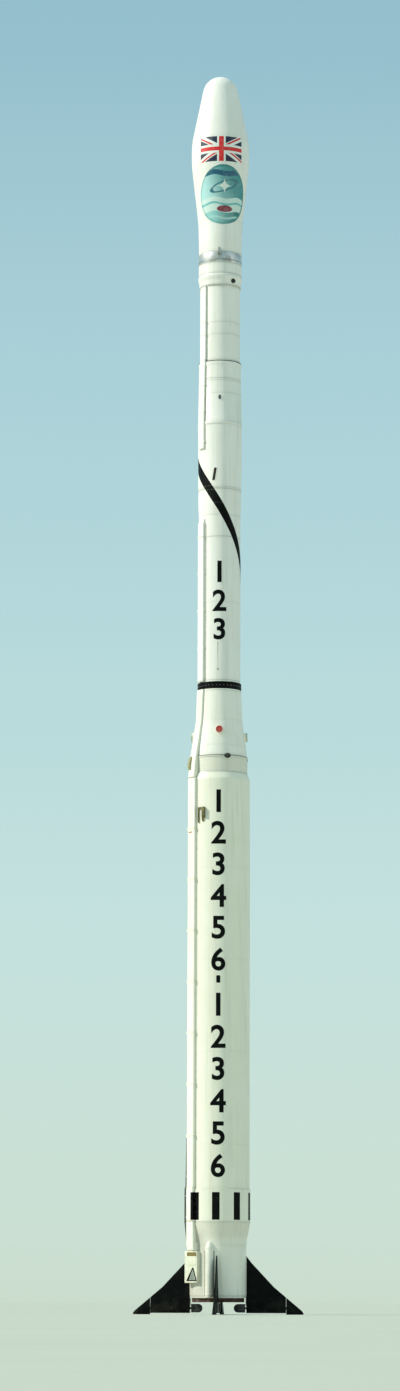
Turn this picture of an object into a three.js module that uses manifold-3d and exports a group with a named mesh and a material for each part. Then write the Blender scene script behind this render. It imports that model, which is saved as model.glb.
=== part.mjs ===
// Four-stage solid-fuel launch rocket, standing on its base ring.
// Millimetres, +Z up; the origin is the centre of the base ring's underside.
// Azimuths are in degrees, from -Y (the front) towards +X (the right).

import * as THREE from 'three';
import { mergeVertices } from 'three/addons/utils/BufferGeometryUtils.js';
import Module from 'manifold-3d';

const wasm = await Module();
wasm.setup();

// Driving dimensions
const SIDES = 48;                  // facets round a stage
const TOUCH = 0.3;                 // gap between faces that touch
const CLEAR = 6;                   // gap beside a moving piece
const CHORD = 2;                   // room under a curved foot on a faceted stage
const WELD = 1e-3;                 // corners closer than this are one

const BASE_RADIUS = 505;           // straight part of the base section
const BASE_STRAIGHT_TOP = 975;
const BASE_TOP = 1350;
const BASE_WALL = 14;
const RING_INNER = 470;            // base ring flange
const RING_HEIGHT = 30;

const STAGE1_RADIUS = 562;
const STAGE1_TOP = 9457;
const SHOULDER1 = { low: 9330, radius: 520 };
const SKIRT1_RADIUS = 575;         // aft skirt of the first stage
const SKIRT1_TOP = 1930;
const FLARE_RADIUS = 574;          // top of the base section, just inside the skirt
const FORWARD_SKIRT_RADIUS = 515;
const FORWARD_SKIRT_TOP = 9750;
const CLAMP_RADIUS = 522;
const CLAMP_BOTTOM = 9732;
const CONE_FOOT_RADIUS = 512;
const CONE_BEND = 9950;            // end of the cone's steep foot
const CONE_BEND_RADIUS = 492;
const CONE_KNEE = 10430;           // where the transition cone meets its neck
const CONE_KNEE_RADIUS = 424;
const CONE_TOP = 11000;
const CONE_TOP_RADIUS = 398;
const BAND_RADIUS = 402;
const BAND_TOP = 11130;

const STAGE2_RADIUS = 384;
const STAGE2_TOP = 14750;
const STAGE2_HEAD_RADIUS = 396;
const STAGE2_SHOULDER = { low: 14250, high: 14450 };
const UPPER_TRANSITION_RADIUS = 400;
const UPPER_TRANSITION_TOP = 17090;
const UPPER_TRANSITION_END_RADIUS = 388;
const STAGE3_RING_RADIUS = 392;
const STAGE3_RING_TOP = 17170;
const STAGE3_RADIUS = 372;
const STAGE3_TOP = 18610;
const COLLAR_TOP = 19050;
const SHIELD_RING_RADIUS = 402;
const SHIELD_RING_TOP = 19240;

const SHIELD_WALL = 20;            // whole wall of the heat shield
const SHIELD_FOOT_RADIUS = 396;
const SHIELD_WAIST = { radius: 408, height: 19860 };
const SHIELD_BULGE = { radius: 537, low: 20990, high: 21420 };
const SHIELD_NOSE = { radius: 330, centre: 22403, start: 12 };
const SHIELD_SPLIT = 3;            // each half stays this far off the split plane

const FIN_ROOT = BASE_RADIUS + TOUCH;
const FIN_TOP = 745;
const FIN_BOTTOM = -265;
const FIN_CUT = 1215;              // outboard end of the fixed fin
const TIP_SPAN = 1528;
const TIP_BOTTOM = -290;
const SHAFT_HEIGHT = -180;         // axis of the control shaft
const SHAFT_RADIUS = 20;
const BORE_RADIUS = 22;
const VANE_INNER = 280;
const VANE_OUTER = 485;
const VANE_HALF_CHORD = 76;
const VANE_HALF_THICKNESS = 16;

const TUNNEL_AZIMUTH = -54.5;
const STAGE3_TUNNEL_AZIMUTH = -50;
const THRUSTER_AZIMUTH = 3;
const SKIRT_JET_AZIMUTH = 20;
const COLLAR_JET_AZIMUTH = 41;

const QUARTERS = [
  { name: 'front', azimuth: 0, thruster: { height: 10230, radius: 64, finish: 'red' } },
  { name: 'right', azimuth: 90, thruster: { height: 10145, radius: 84, finish: 'primer' } },
  { name: 'back', azimuth: 180, thruster: { height: 10230, radius: 64, finish: 'red' } },
  { name: 'left', azimuth: 270, thruster: { height: 10145, radius: 84, finish: 'primer' } },
];
const FRONT_AND_BACK = [QUARTERS[0], QUARTERS[2]];

const FINISH = {
  white: { color: 0xf0efe4, roughness: 0.45, metalness: 0.0 },
  black: { color: 0x0b0c0b, roughness: 0.5, metalness: 0.0 },
  steel: { color: 0x8d9192, roughness: 0.4, metalness: 0.9 },
  graphite: { color: 0x2c2d2c, roughness: 0.8, metalness: 0.1 },
  insulation: { color: 0x4a2a22, roughness: 0.9, metalness: 0.0 },
  red: { color: 0xc23a2e, roughness: 0.5, metalness: 0.0 },
  alloy: { color: 0xb9bcbb, roughness: 0.35, metalness: 0.9 },
  primer: { color: 0xb98b2d, roughness: 0.6, metalness: 0.2 },
};

const rocket = new THREE.Group();

// Geometry helpers

// A closed mesh becomes a solid for cutting and joining.
function solidOf(geometry) {
  const bare = geometry.clone();
  bare.deleteAttribute('normal');
  bare.deleteAttribute('uv');
  const merged = mergeVertices(bare, WELD);
  const index = merged.index.array;
  const triangles = [];
  for (let i = 0; i < index.length; i += 3) {
    const [a, b, c] = [index[i], index[i + 1], index[i + 2]];
    if (a !== b && b !== c && c !== a) triangles.push(a, b, c);
  }
  return new wasm.Manifold(new wasm.Mesh({
    numProp: 3,
    vertProperties: new Float32Array(merged.attributes.position.array),
    triVerts: new Uint32Array(triangles),
  }));
}

function geometryOf(solid) {
  const mesh = solid.getMesh();
  const geometry = new THREE.BufferGeometry();
  geometry.setAttribute('position', new THREE.BufferAttribute(mesh.vertProperties, 3));
  geometry.setIndex(new THREE.BufferAttribute(mesh.triVerts, 1));
  return geometry;
}

// Turns a profile of [radius, height] points about Z.
function turned(profile, sides = SIDES) {
  const points = profile.map(([radius, height]) => new THREE.Vector2(radius, height));
  return new THREE.LatheGeometry(points, sides).rotateX(Math.PI / 2);
}

// A rod of the given radius that lies along +X, from one distance to another.
function rodAlongX(from, to, radius, height, sides = 16) {
  const rod = new THREE.CylinderGeometry(radius, radius, to - from, sides);
  return rod.rotateZ(Math.PI / 2).translate((from + to) / 2, 0, height);
}

function block(low, high) {
  const size = high.map((value, i) => value - low[i]);
  const box = new THREE.BoxGeometry(...size);
  return box.translate(...low.map((value, i) => value + size[i] / 2));
}

// Turns what was made along +X so that it points along an azimuth.
function pointed(geometry, azimuth) {
  return geometry.rotateZ(THREE.MathUtils.degToRad(azimuth - 90));
}

// A plate in the XZ plane. Points are [x, z, half thickness], anticlockwise seen from -Y.
function plate(points) {
  const contour = points.map(([x, z]) => new THREE.Vector2(x, z));
  const count = points.length;
  const vertices = [];
  for (const side of [-1, 1]) {
    for (const [x, z, half] of points) vertices.push(x, side * half, z);
  }
  const index = [];
  for (const [a, b, c] of THREE.ShapeUtils.triangulateShape(contour, [])) {
    index.push(a, b, c, c + count, b + count, a + count);
  }
  for (let i = 0; i < count; i += 1) {
    const j = (i + 1) % count;
    index.push(i, i + count, j + count, i, j + count, j);
  }
  return indexed(vertices, index);
}

function indexed(vertices, index) {
  const geometry = new THREE.BufferGeometry();
  geometry.setAttribute('position', new THREE.Float32BufferAttribute(vertices, 3));
  geometry.setIndex(index);
  return geometry;
}

// A duct that lies on a stage. Stations are [height, inner radius, outer radius],
// and each section is a curved strip as wide as the duct, centred on +X.
function duct(stations, width, steps = 4) {
  const vertices = [];
  for (const [height, inner, outer] of stations) {
    for (const [radius, direction] of [[inner, -1], [outer, 1]]) {
      const half = width / 2 / inner;
      for (let i = 0; i <= steps; i += 1) {
        const angle = direction * (1 - 2 * i / steps) * half;
        vertices.push(radius * Math.cos(angle), radius * Math.sin(angle), height);
      }
    }
  }
  const count = 2 * (steps + 1);
  const index = [];
  for (let s = 0; s + 1 < stations.length; s += 1) {
    for (let i = 0; i < count; i += 1) {
      const j = (i + 1) % count;
      const [low, high] = [s * count, (s + 1) * count];
      index.push(low + i, high + i, high + j, low + i, high + j, low + j);
    }
  }
  const top = (stations.length - 1) * count;
  for (let i = 0; i < steps; i += 1) {
    const [a, b, c, d] = [i, i + 1, count - 2 - i, count - 1 - i];
    index.push(a, b, c, a, c, d);
    index.push(top + a, top + c, top + b, top + a, top + d, top + c);
  }
  return indexed(vertices, index);
}

// The outer radius of a duct's stations at a height between two of them.
function outerAt(stations, height) {
  const next = stations.findIndex((station) => station[0] >= height);
  const [low, high] = [stations[next - 1], stations[next]];
  return low[2] + (high[2] - low[2]) * (height - low[0]) / (high[0] - low[0]);
}

function add(name, geometry, finish) {
  const mesh = new THREE.Mesh(geometry, new THREE.MeshStandardMaterial(FINISH[finish]));
  mesh.name = name;
  rocket.add(mesh);
  return mesh;
}

// Base section: a hollow shell round the nozzle, with the ring it stands on

add('base_section', turned([
  [BASE_RADIUS, 0],
  [BASE_RADIUS, BASE_STRAIGHT_TOP],
  [FLARE_RADIUS, BASE_TOP - TOUCH],
  [FLARE_RADIUS - BASE_WALL, BASE_TOP - TOUCH],
  [BASE_RADIUS - BASE_WALL, BASE_STRAIGHT_TOP],
  [BASE_RADIUS - BASE_WALL, RING_HEIGHT],
  [RING_INNER, RING_HEIGHT],
  [RING_INNER, 0],
  [BASE_RADIUS, 0],
]), 'white');

const HEAT_RING = { inner: 450, outer: RING_INNER - 1, bottom: -75, top: 24 };
add('base_heat_ring', turned([
  [HEAT_RING.outer, HEAT_RING.bottom],
  [HEAT_RING.outer, HEAT_RING.top],
  [HEAT_RING.inner, HEAT_RING.top],
  [HEAT_RING.inner, HEAT_RING.bottom],
  [HEAT_RING.outer, HEAT_RING.bottom],
]), 'insulation');

const NOZZLE = { exit: -60, exitRadius: 425, throat: 860, throatRadius: 150, top: 1119, wall: 22 };
add('first_stage_nozzle', turned([
  [NOZZLE.exitRadius + NOZZLE.wall, NOZZLE.exit],
  [NOZZLE.throatRadius + 2 * NOZZLE.wall, NOZZLE.throat],
  [NOZZLE.throatRadius + 3 * NOZZLE.wall, NOZZLE.top],
  [NOZZLE.throatRadius + NOZZLE.wall, NOZZLE.top],
  [NOZZLE.throatRadius, NOZZLE.throat],
  [NOZZLE.exitRadius, NOZZLE.exit],
  [NOZZLE.exitRadius + NOZZLE.wall, NOZZLE.exit],
]), 'graphite');

// Fins, each with a tip and a jet vane that turn together on one shaft

const BLUNT = 9;                   // half thickness of the fins' leading edges
const FIN_OUTLINE = [              // x, z, half thickness
  [FIN_ROOT, FIN_BOTTOM, 46],
  [FIN_CUT, FIN_BOTTOM, 38],
  [FIN_CUT, 14, BLUNT],
  [1000, 195, BLUNT],
  [600, 622, BLUNT],
  [FIN_ROOT, FIN_TOP, BLUNT],
];
const TIP_OUTLINE = [              // x, z, half thickness
  [FIN_CUT + CLEAR, TIP_BOTTOM, 42],
  [TIP_SPAN, TIP_BOTTOM, 14],
  [TIP_SPAN, -262, 10],
  [1500, -225, 8],
  [FIN_CUT + CLEAR, 9, BLUNT],
];
const BORE_OVERRUN = 50;           // how far the bore's cutter passes each end of the fin
const SHAFT_IN_VANE = 100;
const VANE_END_STEPS = 10;

// The vane's outline: a straight outer end and a half-round inner end.
function vaneOutline() {
  const centre = VANE_INNER + VANE_HALF_CHORD;
  const points = [
    [VANE_OUTER, SHAFT_HEIGHT - VANE_HALF_CHORD, VANE_HALF_THICKNESS],
    [VANE_OUTER, SHAFT_HEIGHT + VANE_HALF_CHORD, VANE_HALF_THICKNESS],
  ];
  for (let i = 0; i <= VANE_END_STEPS; i += 1) {
    const angle = Math.PI * (0.5 + i / VANE_END_STEPS);
    points.push([
      centre + VANE_HALF_CHORD * Math.cos(angle),
      SHAFT_HEIGHT + VANE_HALF_CHORD * Math.sin(angle),
      VANE_HALF_THICKNESS,
    ]);
  }
  return points;
}

for (const { name, azimuth } of QUARTERS) {
  const [boreStart, boreEnd] = [FIN_ROOT - BORE_OVERRUN, FIN_CUT + BORE_OVERRUN];
  const bore = solidOf(rodAlongX(boreStart, boreEnd, BORE_RADIUS, SHAFT_HEIGHT));
  const fin = solidOf(plate(FIN_OUTLINE)).subtract(bore);
  add(`fin_${name}`, pointed(geometryOf(fin), azimuth), 'black');

  add(`fin_tip_${name}`, pointed(plate(TIP_OUTLINE), azimuth), 'black');

  const shaftEnd = FIN_CUT + CLEAR - TOUCH;
  const shaftStart = VANE_OUTER - SHAFT_IN_VANE;
  const shaft = solidOf(rodAlongX(shaftStart, shaftEnd, SHAFT_RADIUS, SHAFT_HEIGHT));
  const vane = solidOf(plate(vaneOutline())).add(shaft);
  add(`jet_vane_${name}`, pointed(geometryOf(vane), azimuth), 'graphite');
}

// First stage: the motor case, its skirt and what runs down its side

const DOME = { innerRadius: 330, inner: 1159, outerRadius: 515, outer: 1290, rim: 540 };
add('first_stage_case', turned([
  [0, NOZZLE.top + TOUCH],
  [DOME.innerRadius, DOME.inner],
  [DOME.outerRadius, DOME.outer],
  [DOME.rim, BASE_TOP],
  [STAGE1_RADIUS, BASE_TOP],
  [STAGE1_RADIUS, SHOULDER1.low],
  [SHOULDER1.radius, STAGE1_TOP],
  [0, STAGE1_TOP],
]), 'white');

add('first_stage_skirt', turned([
  [SKIRT1_RADIUS, BASE_TOP],
  [SKIRT1_RADIUS, SKIRT1_TOP],
  [STAGE1_RADIUS + TOUCH, SKIRT1_TOP],
  [STAGE1_RADIUS + TOUCH, BASE_TOP],
  [SKIRT1_RADIUS, BASE_TOP],
]), 'white');

const END_GAP = 2;                 // between the ends of the tunnel's lengths
const TUNNEL = { width: 215, outer: 622, onSkirt: 630, ramp: 60, top: 9358 };
const skirtFoot = SKIRT1_RADIUS + CHORD;
const stageFoot = STAGE1_RADIUS + CHORD;
add('first_stage_tunnel', pointed(duct([
  [BASE_TOP + END_GAP, skirtFoot, TUNNEL.onSkirt],
  [SKIRT1_TOP + END_GAP, skirtFoot, TUNNEL.onSkirt],
  [SKIRT1_TOP + TUNNEL.ramp, stageFoot, TUNNEL.outer],
  [TUNNEL.top, stageFoot, TUNNEL.outer],
], TUNNEL.width), TUNNEL_AZIMUTH), 'white');

const AFT_FAIRING = { width: 200, bottom: 832, outer: 609, knee: 622 };
const baseFoot = BASE_RADIUS + CHORD;
add('tunnel_aft_fairing', pointed(duct([
  [AFT_FAIRING.bottom, baseFoot, AFT_FAIRING.outer],
  [BASE_STRAIGHT_TOP, baseFoot, AFT_FAIRING.knee],
  [BASE_TOP - END_GAP, skirtFoot, TUNNEL.onSkirt],
], AFT_FAIRING.width), TUNNEL_AZIMUTH), 'white');

// What stands on the base section is cut to its surface.
const BELOW_BASE = -100;
const baseCut = solidOf(turned([
  [0, BELOW_BASE],
  [BASE_RADIUS + TOUCH, BELOW_BASE],
  [BASE_RADIUS + TOUCH, BASE_STRAIGHT_TOP],
  [SKIRT1_RADIUS, BASE_TOP],
  [0, BASE_TOP],
]));

// The umbilical box has a flat face that looks forwards and to the left.
const BOX = { bottom: 266, top: 826, inside: 480 };
const BOX_CORNERS = [              // azimuth, radius
  [-38, 575],
  [-66.4, 640],
  [-72, 612],
  [-79, BOX.inside],
  [-36, BOX.inside],
];
const boxPlan = new THREE.Shape(BOX_CORNERS.map(([azimuth, radius]) => {
  const angle = THREE.MathUtils.degToRad(azimuth - 90);
  return new THREE.Vector2(radius * Math.cos(angle), radius * Math.sin(angle));
}));
const boxPrism = new THREE.ExtrudeGeometry(boxPlan, {
  depth: BOX.top - BOX.bottom, bevelEnabled: false,
}).translate(0, 0, BOX.bottom);
add('umbilical_box', geometryOf(solidOf(boxPrism).subtract(baseCut)), 'white');

const CONDUIT = { azimuth: -92, width: 40, bottom: 750, bend: 800, top: 2900, steps: 2 };
add('aft_conduit', pointed(duct([
  [CONDUIT.bottom, baseFoot, 540],
  [CONDUIT.bend, baseFoot, 556],
  [BASE_TOP + END_GAP, skirtFoot, 612],
  [SKIRT1_TOP + END_GAP, skirtFoot, 612],
  [SKIRT1_TOP + TUNNEL.ramp, stageFoot, 596],
  [CONDUIT.top, stageFoot, 580],
], CONDUIT.width, CONDUIT.steps), CONDUIT.azimuth), 'steel');

// Handling bracket beside the tunnel's upper end: a bar, a crosspiece and a hook
const BRACKET_STRIPS = [           // azimuth, width, then stations of height and rise
  [-37.6, 22, [[8520, 26], [8800, 26]]],
  [-31.6, 150, [[8764, 22], [8800, 22]]],
  [-25.8, 46, [[8600, 22], [8640, 56], [8800, 56]]],
  [-27.8, 34, [[8540, 14], [8640, 34]]],
];
const bracketStrips = BRACKET_STRIPS.map(([azimuth, width, stations]) => {
  const strip = duct(stations.map(([height, rise]) => [height, stageFoot, stageFoot + rise]), width);
  return solidOf(pointed(strip, azimuth));
});
const bracket = bracketStrips.reduce((whole, strip) => whole.add(strip));
add('handling_bracket', geometryOf(bracket), 'primer');

// Half-round covers of the actuator lines, beside the front and the back fin
const COVER = { azimuth: -15, radius: 78, bottom: 10, shoulder: 880, crown: 993, sides: 20 };
const COVER_END = [                // radius, height
  [62, 940],
  [31, 985],
];
for (const { name, azimuth } of FRONT_AND_BACK) {
  const cover = turned([
    [0, COVER.bottom],
    [COVER.radius, COVER.bottom],
    [COVER.radius, COVER.shoulder],
    ...COVER_END,
    [0, COVER.crown],
  ], COVER.sides).translate(BASE_RADIUS, 0, 0);
  const shell = solidOf(pointed(cover, azimuth + COVER.azimuth)).subtract(baseCut);
  add(`actuator_cover_${name}`, geometryOf(shell), 'white');
}

// Lower transition, between the first and the second stage

const CLAMP_CHAMFER = 4;
let forwardSkirt = solidOf(turned([
  [0, STAGE1_TOP + TOUCH],
  [FORWARD_SKIRT_RADIUS, STAGE1_TOP + TOUCH],
  [FORWARD_SKIRT_RADIUS, CLAMP_BOTTOM - CLAMP_CHAMFER],
  [CLAMP_RADIUS, CLAMP_BOTTOM],
  [CLAMP_RADIUS, FORWARD_SKIRT_TOP],
  [0, FORWARD_SKIRT_TOP],
]));
let transitionCone = solidOf(turned([
  [0, FORWARD_SKIRT_TOP + TOUCH],
  [CONE_FOOT_RADIUS, FORWARD_SKIRT_TOP + TOUCH],
  [CONE_BEND_RADIUS, CONE_BEND],
  [CONE_KNEE_RADIUS, CONE_KNEE],
  [CONE_TOP_RADIUS, CONE_TOP],
  [0, CONE_TOP],
]));
const THRUSTER = { root: 400, face: 500, cover: 14 };
const SKIRT_JET = { height: 9745, root: 440, face: 534, radius: 44, bore: 32, depth: 30, notch: 46 };
const CUT_PAST = 10;               // how far a bore's cutter passes the face

// A short jet with an open mouth, standing out of what carries it.
function withJet(carrier, jet, azimuth) {
  const barrel = solidOf(pointed(rodAlongX(jet.root, jet.face, jet.radius, jet.height), azimuth));
  const mouth = rodAlongX(jet.face - jet.depth, jet.face + CUT_PAST, jet.bore, jet.height);
  return carrier.add(barrel).subtract(solidOf(pointed(mouth, azimuth)));
}

for (const { name, azimuth, thruster } of QUARTERS) {
  const { height, radius, finish } = thruster;
  const housing = rodAlongX(THRUSTER.root, THRUSTER.face, radius, height);
  transitionCone = transitionCone.add(solidOf(pointed(housing, azimuth + THRUSTER_AZIMUTH)));
  const jetAzimuth = azimuth + SKIRT_JET_AZIMUTH;
  const notchStart = SKIRT_JET.root - END_GAP;
  const notch = rodAlongX(notchStart, SKIRT_JET.face, SKIRT_JET.notch, SKIRT_JET.height);
  transitionCone = transitionCone.subtract(solidOf(pointed(notch, jetAzimuth)));
  forwardSkirt = withJet(forwardSkirt, SKIRT_JET, jetAzimuth);
  const coverStart = THRUSTER.face + TOUCH;
  const cover = rodAlongX(coverStart, coverStart + THRUSTER.cover, radius, height);
  add(`thruster_cover_${name}`, pointed(cover, azimuth + THRUSTER_AZIMUTH), finish);
}
add('forward_skirt', geometryOf(forwardSkirt), 'white');
add('transition_cone', geometryOf(transitionCone), 'white');

const TOP_FAIRING_WIDTH = 185;
const TOP_FAIRING = [              // height, inner radius, outer radius
  [TUNNEL.top + 2 * END_GAP, stageFoot, 618],
  [9460, CLAMP_RADIUS + CHORD, 612],
  [9600, CLAMP_RADIUS + CHORD, 602],
  [9760, CLAMP_RADIUS + CHORD, 576],
  [10000, 488, 532],
  [CONE_KNEE, CONE_KNEE_RADIUS + CHORD, 462],
  [CONE_TOP - END_GAP, CONE_TOP_RADIUS + CHORD, 440],
];
add('tunnel_top_fairing', pointed(duct(TOP_FAIRING, TOP_FAIRING_WIDTH), TUNNEL_AZIMUTH), 'white');

// The socket of the upper umbilical stands on the fairing.
const SOCKET = { azimuth: -59, width: 70, steps: 2 };
const SOCKET_STATIONS = [          // height, rise above the fairing
  [9510, 18],
  [9550, 34],
  [9600, 36],
  [9700, 34],
  [9750, 18],
];
add('umbilical_socket', pointed(duct(SOCKET_STATIONS.map(([height, rise]) => {
  const seat = outerAt(TOP_FAIRING, height) + CHORD;
  return [height, seat, seat + rise];
}), SOCKET.width, SOCKET.steps), SOCKET.azimuth), 'primer');

add('separation_band', turned([
  [0, CONE_TOP + TOUCH],
  [BAND_RADIUS, CONE_TOP + TOUCH],
  [BAND_RADIUS, BAND_TOP],
  [0, BAND_TOP],
]), 'black');

// Second stage

add('second_stage_case', turned([
  [0, BAND_TOP + TOUCH],
  [STAGE2_RADIUS, BAND_TOP + TOUCH],
  [STAGE2_RADIUS, STAGE2_SHOULDER.low],
  [STAGE2_HEAD_RADIUS, STAGE2_SHOULDER.high],
  [STAGE2_HEAD_RADIUS, STAGE2_TOP],
  [0, STAGE2_TOP],
]), 'white');

const TUNNEL2 = { width: 170, outer: 430, bottom: 11140, bend: 14080, top: 14190, end: 402 };
const secondFoot = STAGE2_RADIUS + CHORD;
add('second_stage_tunnel', pointed(duct([
  [TUNNEL2.bottom, secondFoot, TUNNEL2.outer],
  [TUNNEL2.bend, secondFoot, TUNNEL2.outer],
  [TUNNEL2.top, secondFoot, TUNNEL2.end],
], TUNNEL2.width), TUNNEL_AZIMUTH), 'white');

// Upper transition and third stage

const SPLICE = { low: 15960, high: 16010, radius: 412, beside: 406, bevel: 10 };
add('upper_transition', turned([
  [0, STAGE2_TOP + TOUCH],
  [UPPER_TRANSITION_RADIUS, STAGE2_TOP + TOUCH],
  [SPLICE.beside, SPLICE.low - SPLICE.bevel],
  [SPLICE.radius, SPLICE.low],
  [SPLICE.radius, SPLICE.high],
  [SPLICE.beside, SPLICE.high + SPLICE.bevel],
  [UPPER_TRANSITION_END_RADIUS, UPPER_TRANSITION_TOP],
  [0, UPPER_TRANSITION_TOP],
]), 'white');

add('third_stage_ring', turned([
  [0, UPPER_TRANSITION_TOP + TOUCH],
  [STAGE3_RING_RADIUS, UPPER_TRANSITION_TOP + TOUCH],
  [STAGE3_RING_RADIUS, STAGE3_RING_TOP],
  [0, STAGE3_RING_TOP],
]), 'white');

add('third_stage_case', turned([
  [0, STAGE3_RING_TOP + TOUCH],
  [STAGE3_RADIUS, STAGE3_RING_TOP + TOUCH],
  [STAGE3_RADIUS, STAGE3_TOP],
  [0, STAGE3_TOP],
]), 'white');

const spliceFoot = SPLICE.radius + CHORD;
const ringFoot = STAGE3_RING_RADIUS + CHORD;
const thirdFoot = STAGE3_RADIUS + CHORD;
const STAGE3_TUNNEL_WIDTH = 150;
const STAGE3_TUNNEL = [            // height, inner radius, outer radius
  [15500, spliceFoot, 440],
  [16050, spliceFoot, 440],
  [17180, ringFoot, 420],
  [17210, thirdFoot, 414],
  [18600, thirdFoot, 410],
];
const stage3Tunnel = duct(STAGE3_TUNNEL, STAGE3_TUNNEL_WIDTH);
add('third_stage_tunnel', pointed(stage3Tunnel, STAGE3_TUNNEL_AZIMUTH), 'white');

// Collar and ring that carry the heat shield and the spin table

const COLLAR_RADIUS = 400;
const COLLAR_LIP = [               // radius, height
  [385, STAGE3_TOP + TOUCH],
  [392, 18710],
  [410, 18775],
  [410, 18805],
  [COLLAR_RADIUS, 18830],
];
let collar = solidOf(turned([
  [0, STAGE3_TOP + TOUCH],
  ...COLLAR_LIP,
  [COLLAR_RADIUS, COLLAR_TOP],
  [0, COLLAR_TOP],
]));
const COLLAR_JET = { height: 18697, root: 320, face: 408, radius: 42, bore: 31, depth: 30 };
for (const { azimuth } of FRONT_AND_BACK) {
  collar = withJet(collar, COLLAR_JET, azimuth + COLLAR_JET_AZIMUTH);
}
add('upper_collar', geometryOf(collar), 'white');

// Each half of the shield hangs on a pin held by two ears of the base ring.
const HINGE = { out: 436, height: 19206, pin: 9, bore: 10.5, radius: 22, sides: 20 };
const EAR = { thick: 14, gap: 30, root: 360, pinEnd: 4 };
const LUG = { half: 12, foot: 385, footTop: 19326, stem: 412, outside: 448, overlap: 10 };
const SHIELD_BOTTOM = SHIELD_RING_TOP + CLEAR;

let shieldRing = solidOf(turned([
  [0, COLLAR_TOP + TOUCH],
  [SHIELD_RING_RADIUS, COLLAR_TOP + TOUCH],
  [SHIELD_RING_RADIUS, SHIELD_RING_TOP],
  [0, SHIELD_RING_TOP],
]));

// A rod across the hinge: it lies along Y while the piece points along +X.
function rodAcross(half, radius) {
  return new THREE.CylinderGeometry(radius, radius, 2 * half, HINGE.sides)
    .translate(HINGE.out, 0, HINGE.height);
}

const NOSE_STEPS = 7;
const SHIELD_OUTLINE = shieldOutline(0);
const SHIELD_LINING = shieldOutline(SHIELD_WALL);

// The shield's profile from its base to the axis, drawn in by the wall's depth.
function shieldOutline(depth) {
  const outline = [
    [SHIELD_FOOT_RADIUS - depth, SHIELD_BOTTOM],
    [SHIELD_WAIST.radius - depth, SHIELD_WAIST.height],
    [SHIELD_BULGE.radius - depth, SHIELD_BULGE.low],
    [SHIELD_BULGE.radius - depth, SHIELD_BULGE.high],
  ];
  const radius = SHIELD_NOSE.radius - depth;
  for (let i = 0; i <= NOSE_STEPS; i += 1) {
    const elevation = SHIELD_NOSE.start + (90 - SHIELD_NOSE.start) * i / NOSE_STEPS;
    const angle = THREE.MathUtils.degToRad(elevation);
    outline.push([radius * Math.cos(angle), SHIELD_NOSE.centre + radius * Math.sin(angle)]);
  }
  outline[outline.length - 1][0] = 0;
  return outline;
}

const shieldShell = solidOf(turned([...SHIELD_OUTLINE, ...SHIELD_LINING.reverse(), SHIELD_OUTLINE[0]]));
const HALF_SPACE = { reach: 1000, low: 19200, high: 23000 };
for (const { name, azimuth } of FRONT_AND_BACK) {
  const halfSpace = solidOf(pointed(block(
    [SHIELD_SPLIT, -HALF_SPACE.reach, HALF_SPACE.low],
    [HALF_SPACE.reach, HALF_SPACE.reach, HALF_SPACE.high]), azimuth));
  const foot = block([LUG.foot, -LUG.half, SHIELD_BOTTOM], [LUG.outside, LUG.half, LUG.footTop]);
  const stem = block(
    [LUG.stem, -LUG.half, HINGE.height],
    [LUG.outside, LUG.half, SHIELD_BOTTOM + LUG.overlap]);
  const eye = rodAcross(LUG.half, HINGE.radius);
  const bore = rodAcross(EAR.gap, HINGE.bore);
  const lug = solidOf(foot).add(solidOf(stem)).add(solidOf(eye)).subtract(solidOf(bore));
  const lugGeometry = pointed(geometryOf(lug), azimuth);
  const half = shieldShell.intersect(halfSpace).add(solidOf(lugGeometry));
  add(`heat_shield_${name}`, geometryOf(half), 'white');

  for (const side of [-1, 1]) {
    const near = side * EAR.gap / 2;
    const far = near + side * EAR.thick;
    const [low, high] = [Math.min(near, far), Math.max(near, far)];
    const ear = block([EAR.root, low, HINGE.height - HINGE.radius],
      [HINGE.out + HINGE.radius, high, HINGE.height + HINGE.radius]);
    shieldRing = shieldRing.add(solidOf(pointed(ear, azimuth)));
  }
  const pin = rodAcross(EAR.gap / 2 + EAR.thick + EAR.pinEnd, HINGE.pin);
  shieldRing = shieldRing.add(solidOf(pointed(pin, azimuth)));
}
add('shield_base_ring', geometryOf(shieldRing), 'alloy');

// Fourth stage, inside the heat shield

const TABLE = { radius: 320, rim: 19300, topRadius: 262, top: 19440 };
add('spin_table', turned([
  [0, SHIELD_RING_TOP + TOUCH],
  [TABLE.radius, SHIELD_RING_TOP + TOUCH],
  [TABLE.radius, TABLE.rim],
  [TABLE.topRadius, TABLE.top],
  [0, TABLE.top],
]), 'alloy');

const STAGE4 = { radius: 254, shoulder: 20810, topRadius: 204, top: 20900 };
add('fourth_stage_motor', turned([
  [0, TABLE.top + TOUCH],
  [STAGE4.radius, TABLE.top + TOUCH],
  [STAGE4.radius, STAGE4.shoulder],
  [STAGE4.topRadius, STAGE4.top],
  [0, STAGE4.top],
]), 'white');

const ADAPTER = { footRadius: 200, radius: 230, wall: 24, top: 21100 };
add('payload_adapter', turned([
  [ADAPTER.footRadius, STAGE4.top + TOUCH],
  [ADAPTER.radius, ADAPTER.top],
  [ADAPTER.radius - ADAPTER.wall, ADAPTER.top],
  [ADAPTER.footRadius - ADAPTER.wall, STAGE4.top + TOUCH],
  [ADAPTER.footRadius, STAGE4.top + TOUCH],
]), 'alloy');

export default rocket;
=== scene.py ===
import math

import bmesh
import bpy
from mathutils import Matrix, Vector
from mathutils.bvhtree import BVHTree


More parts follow.
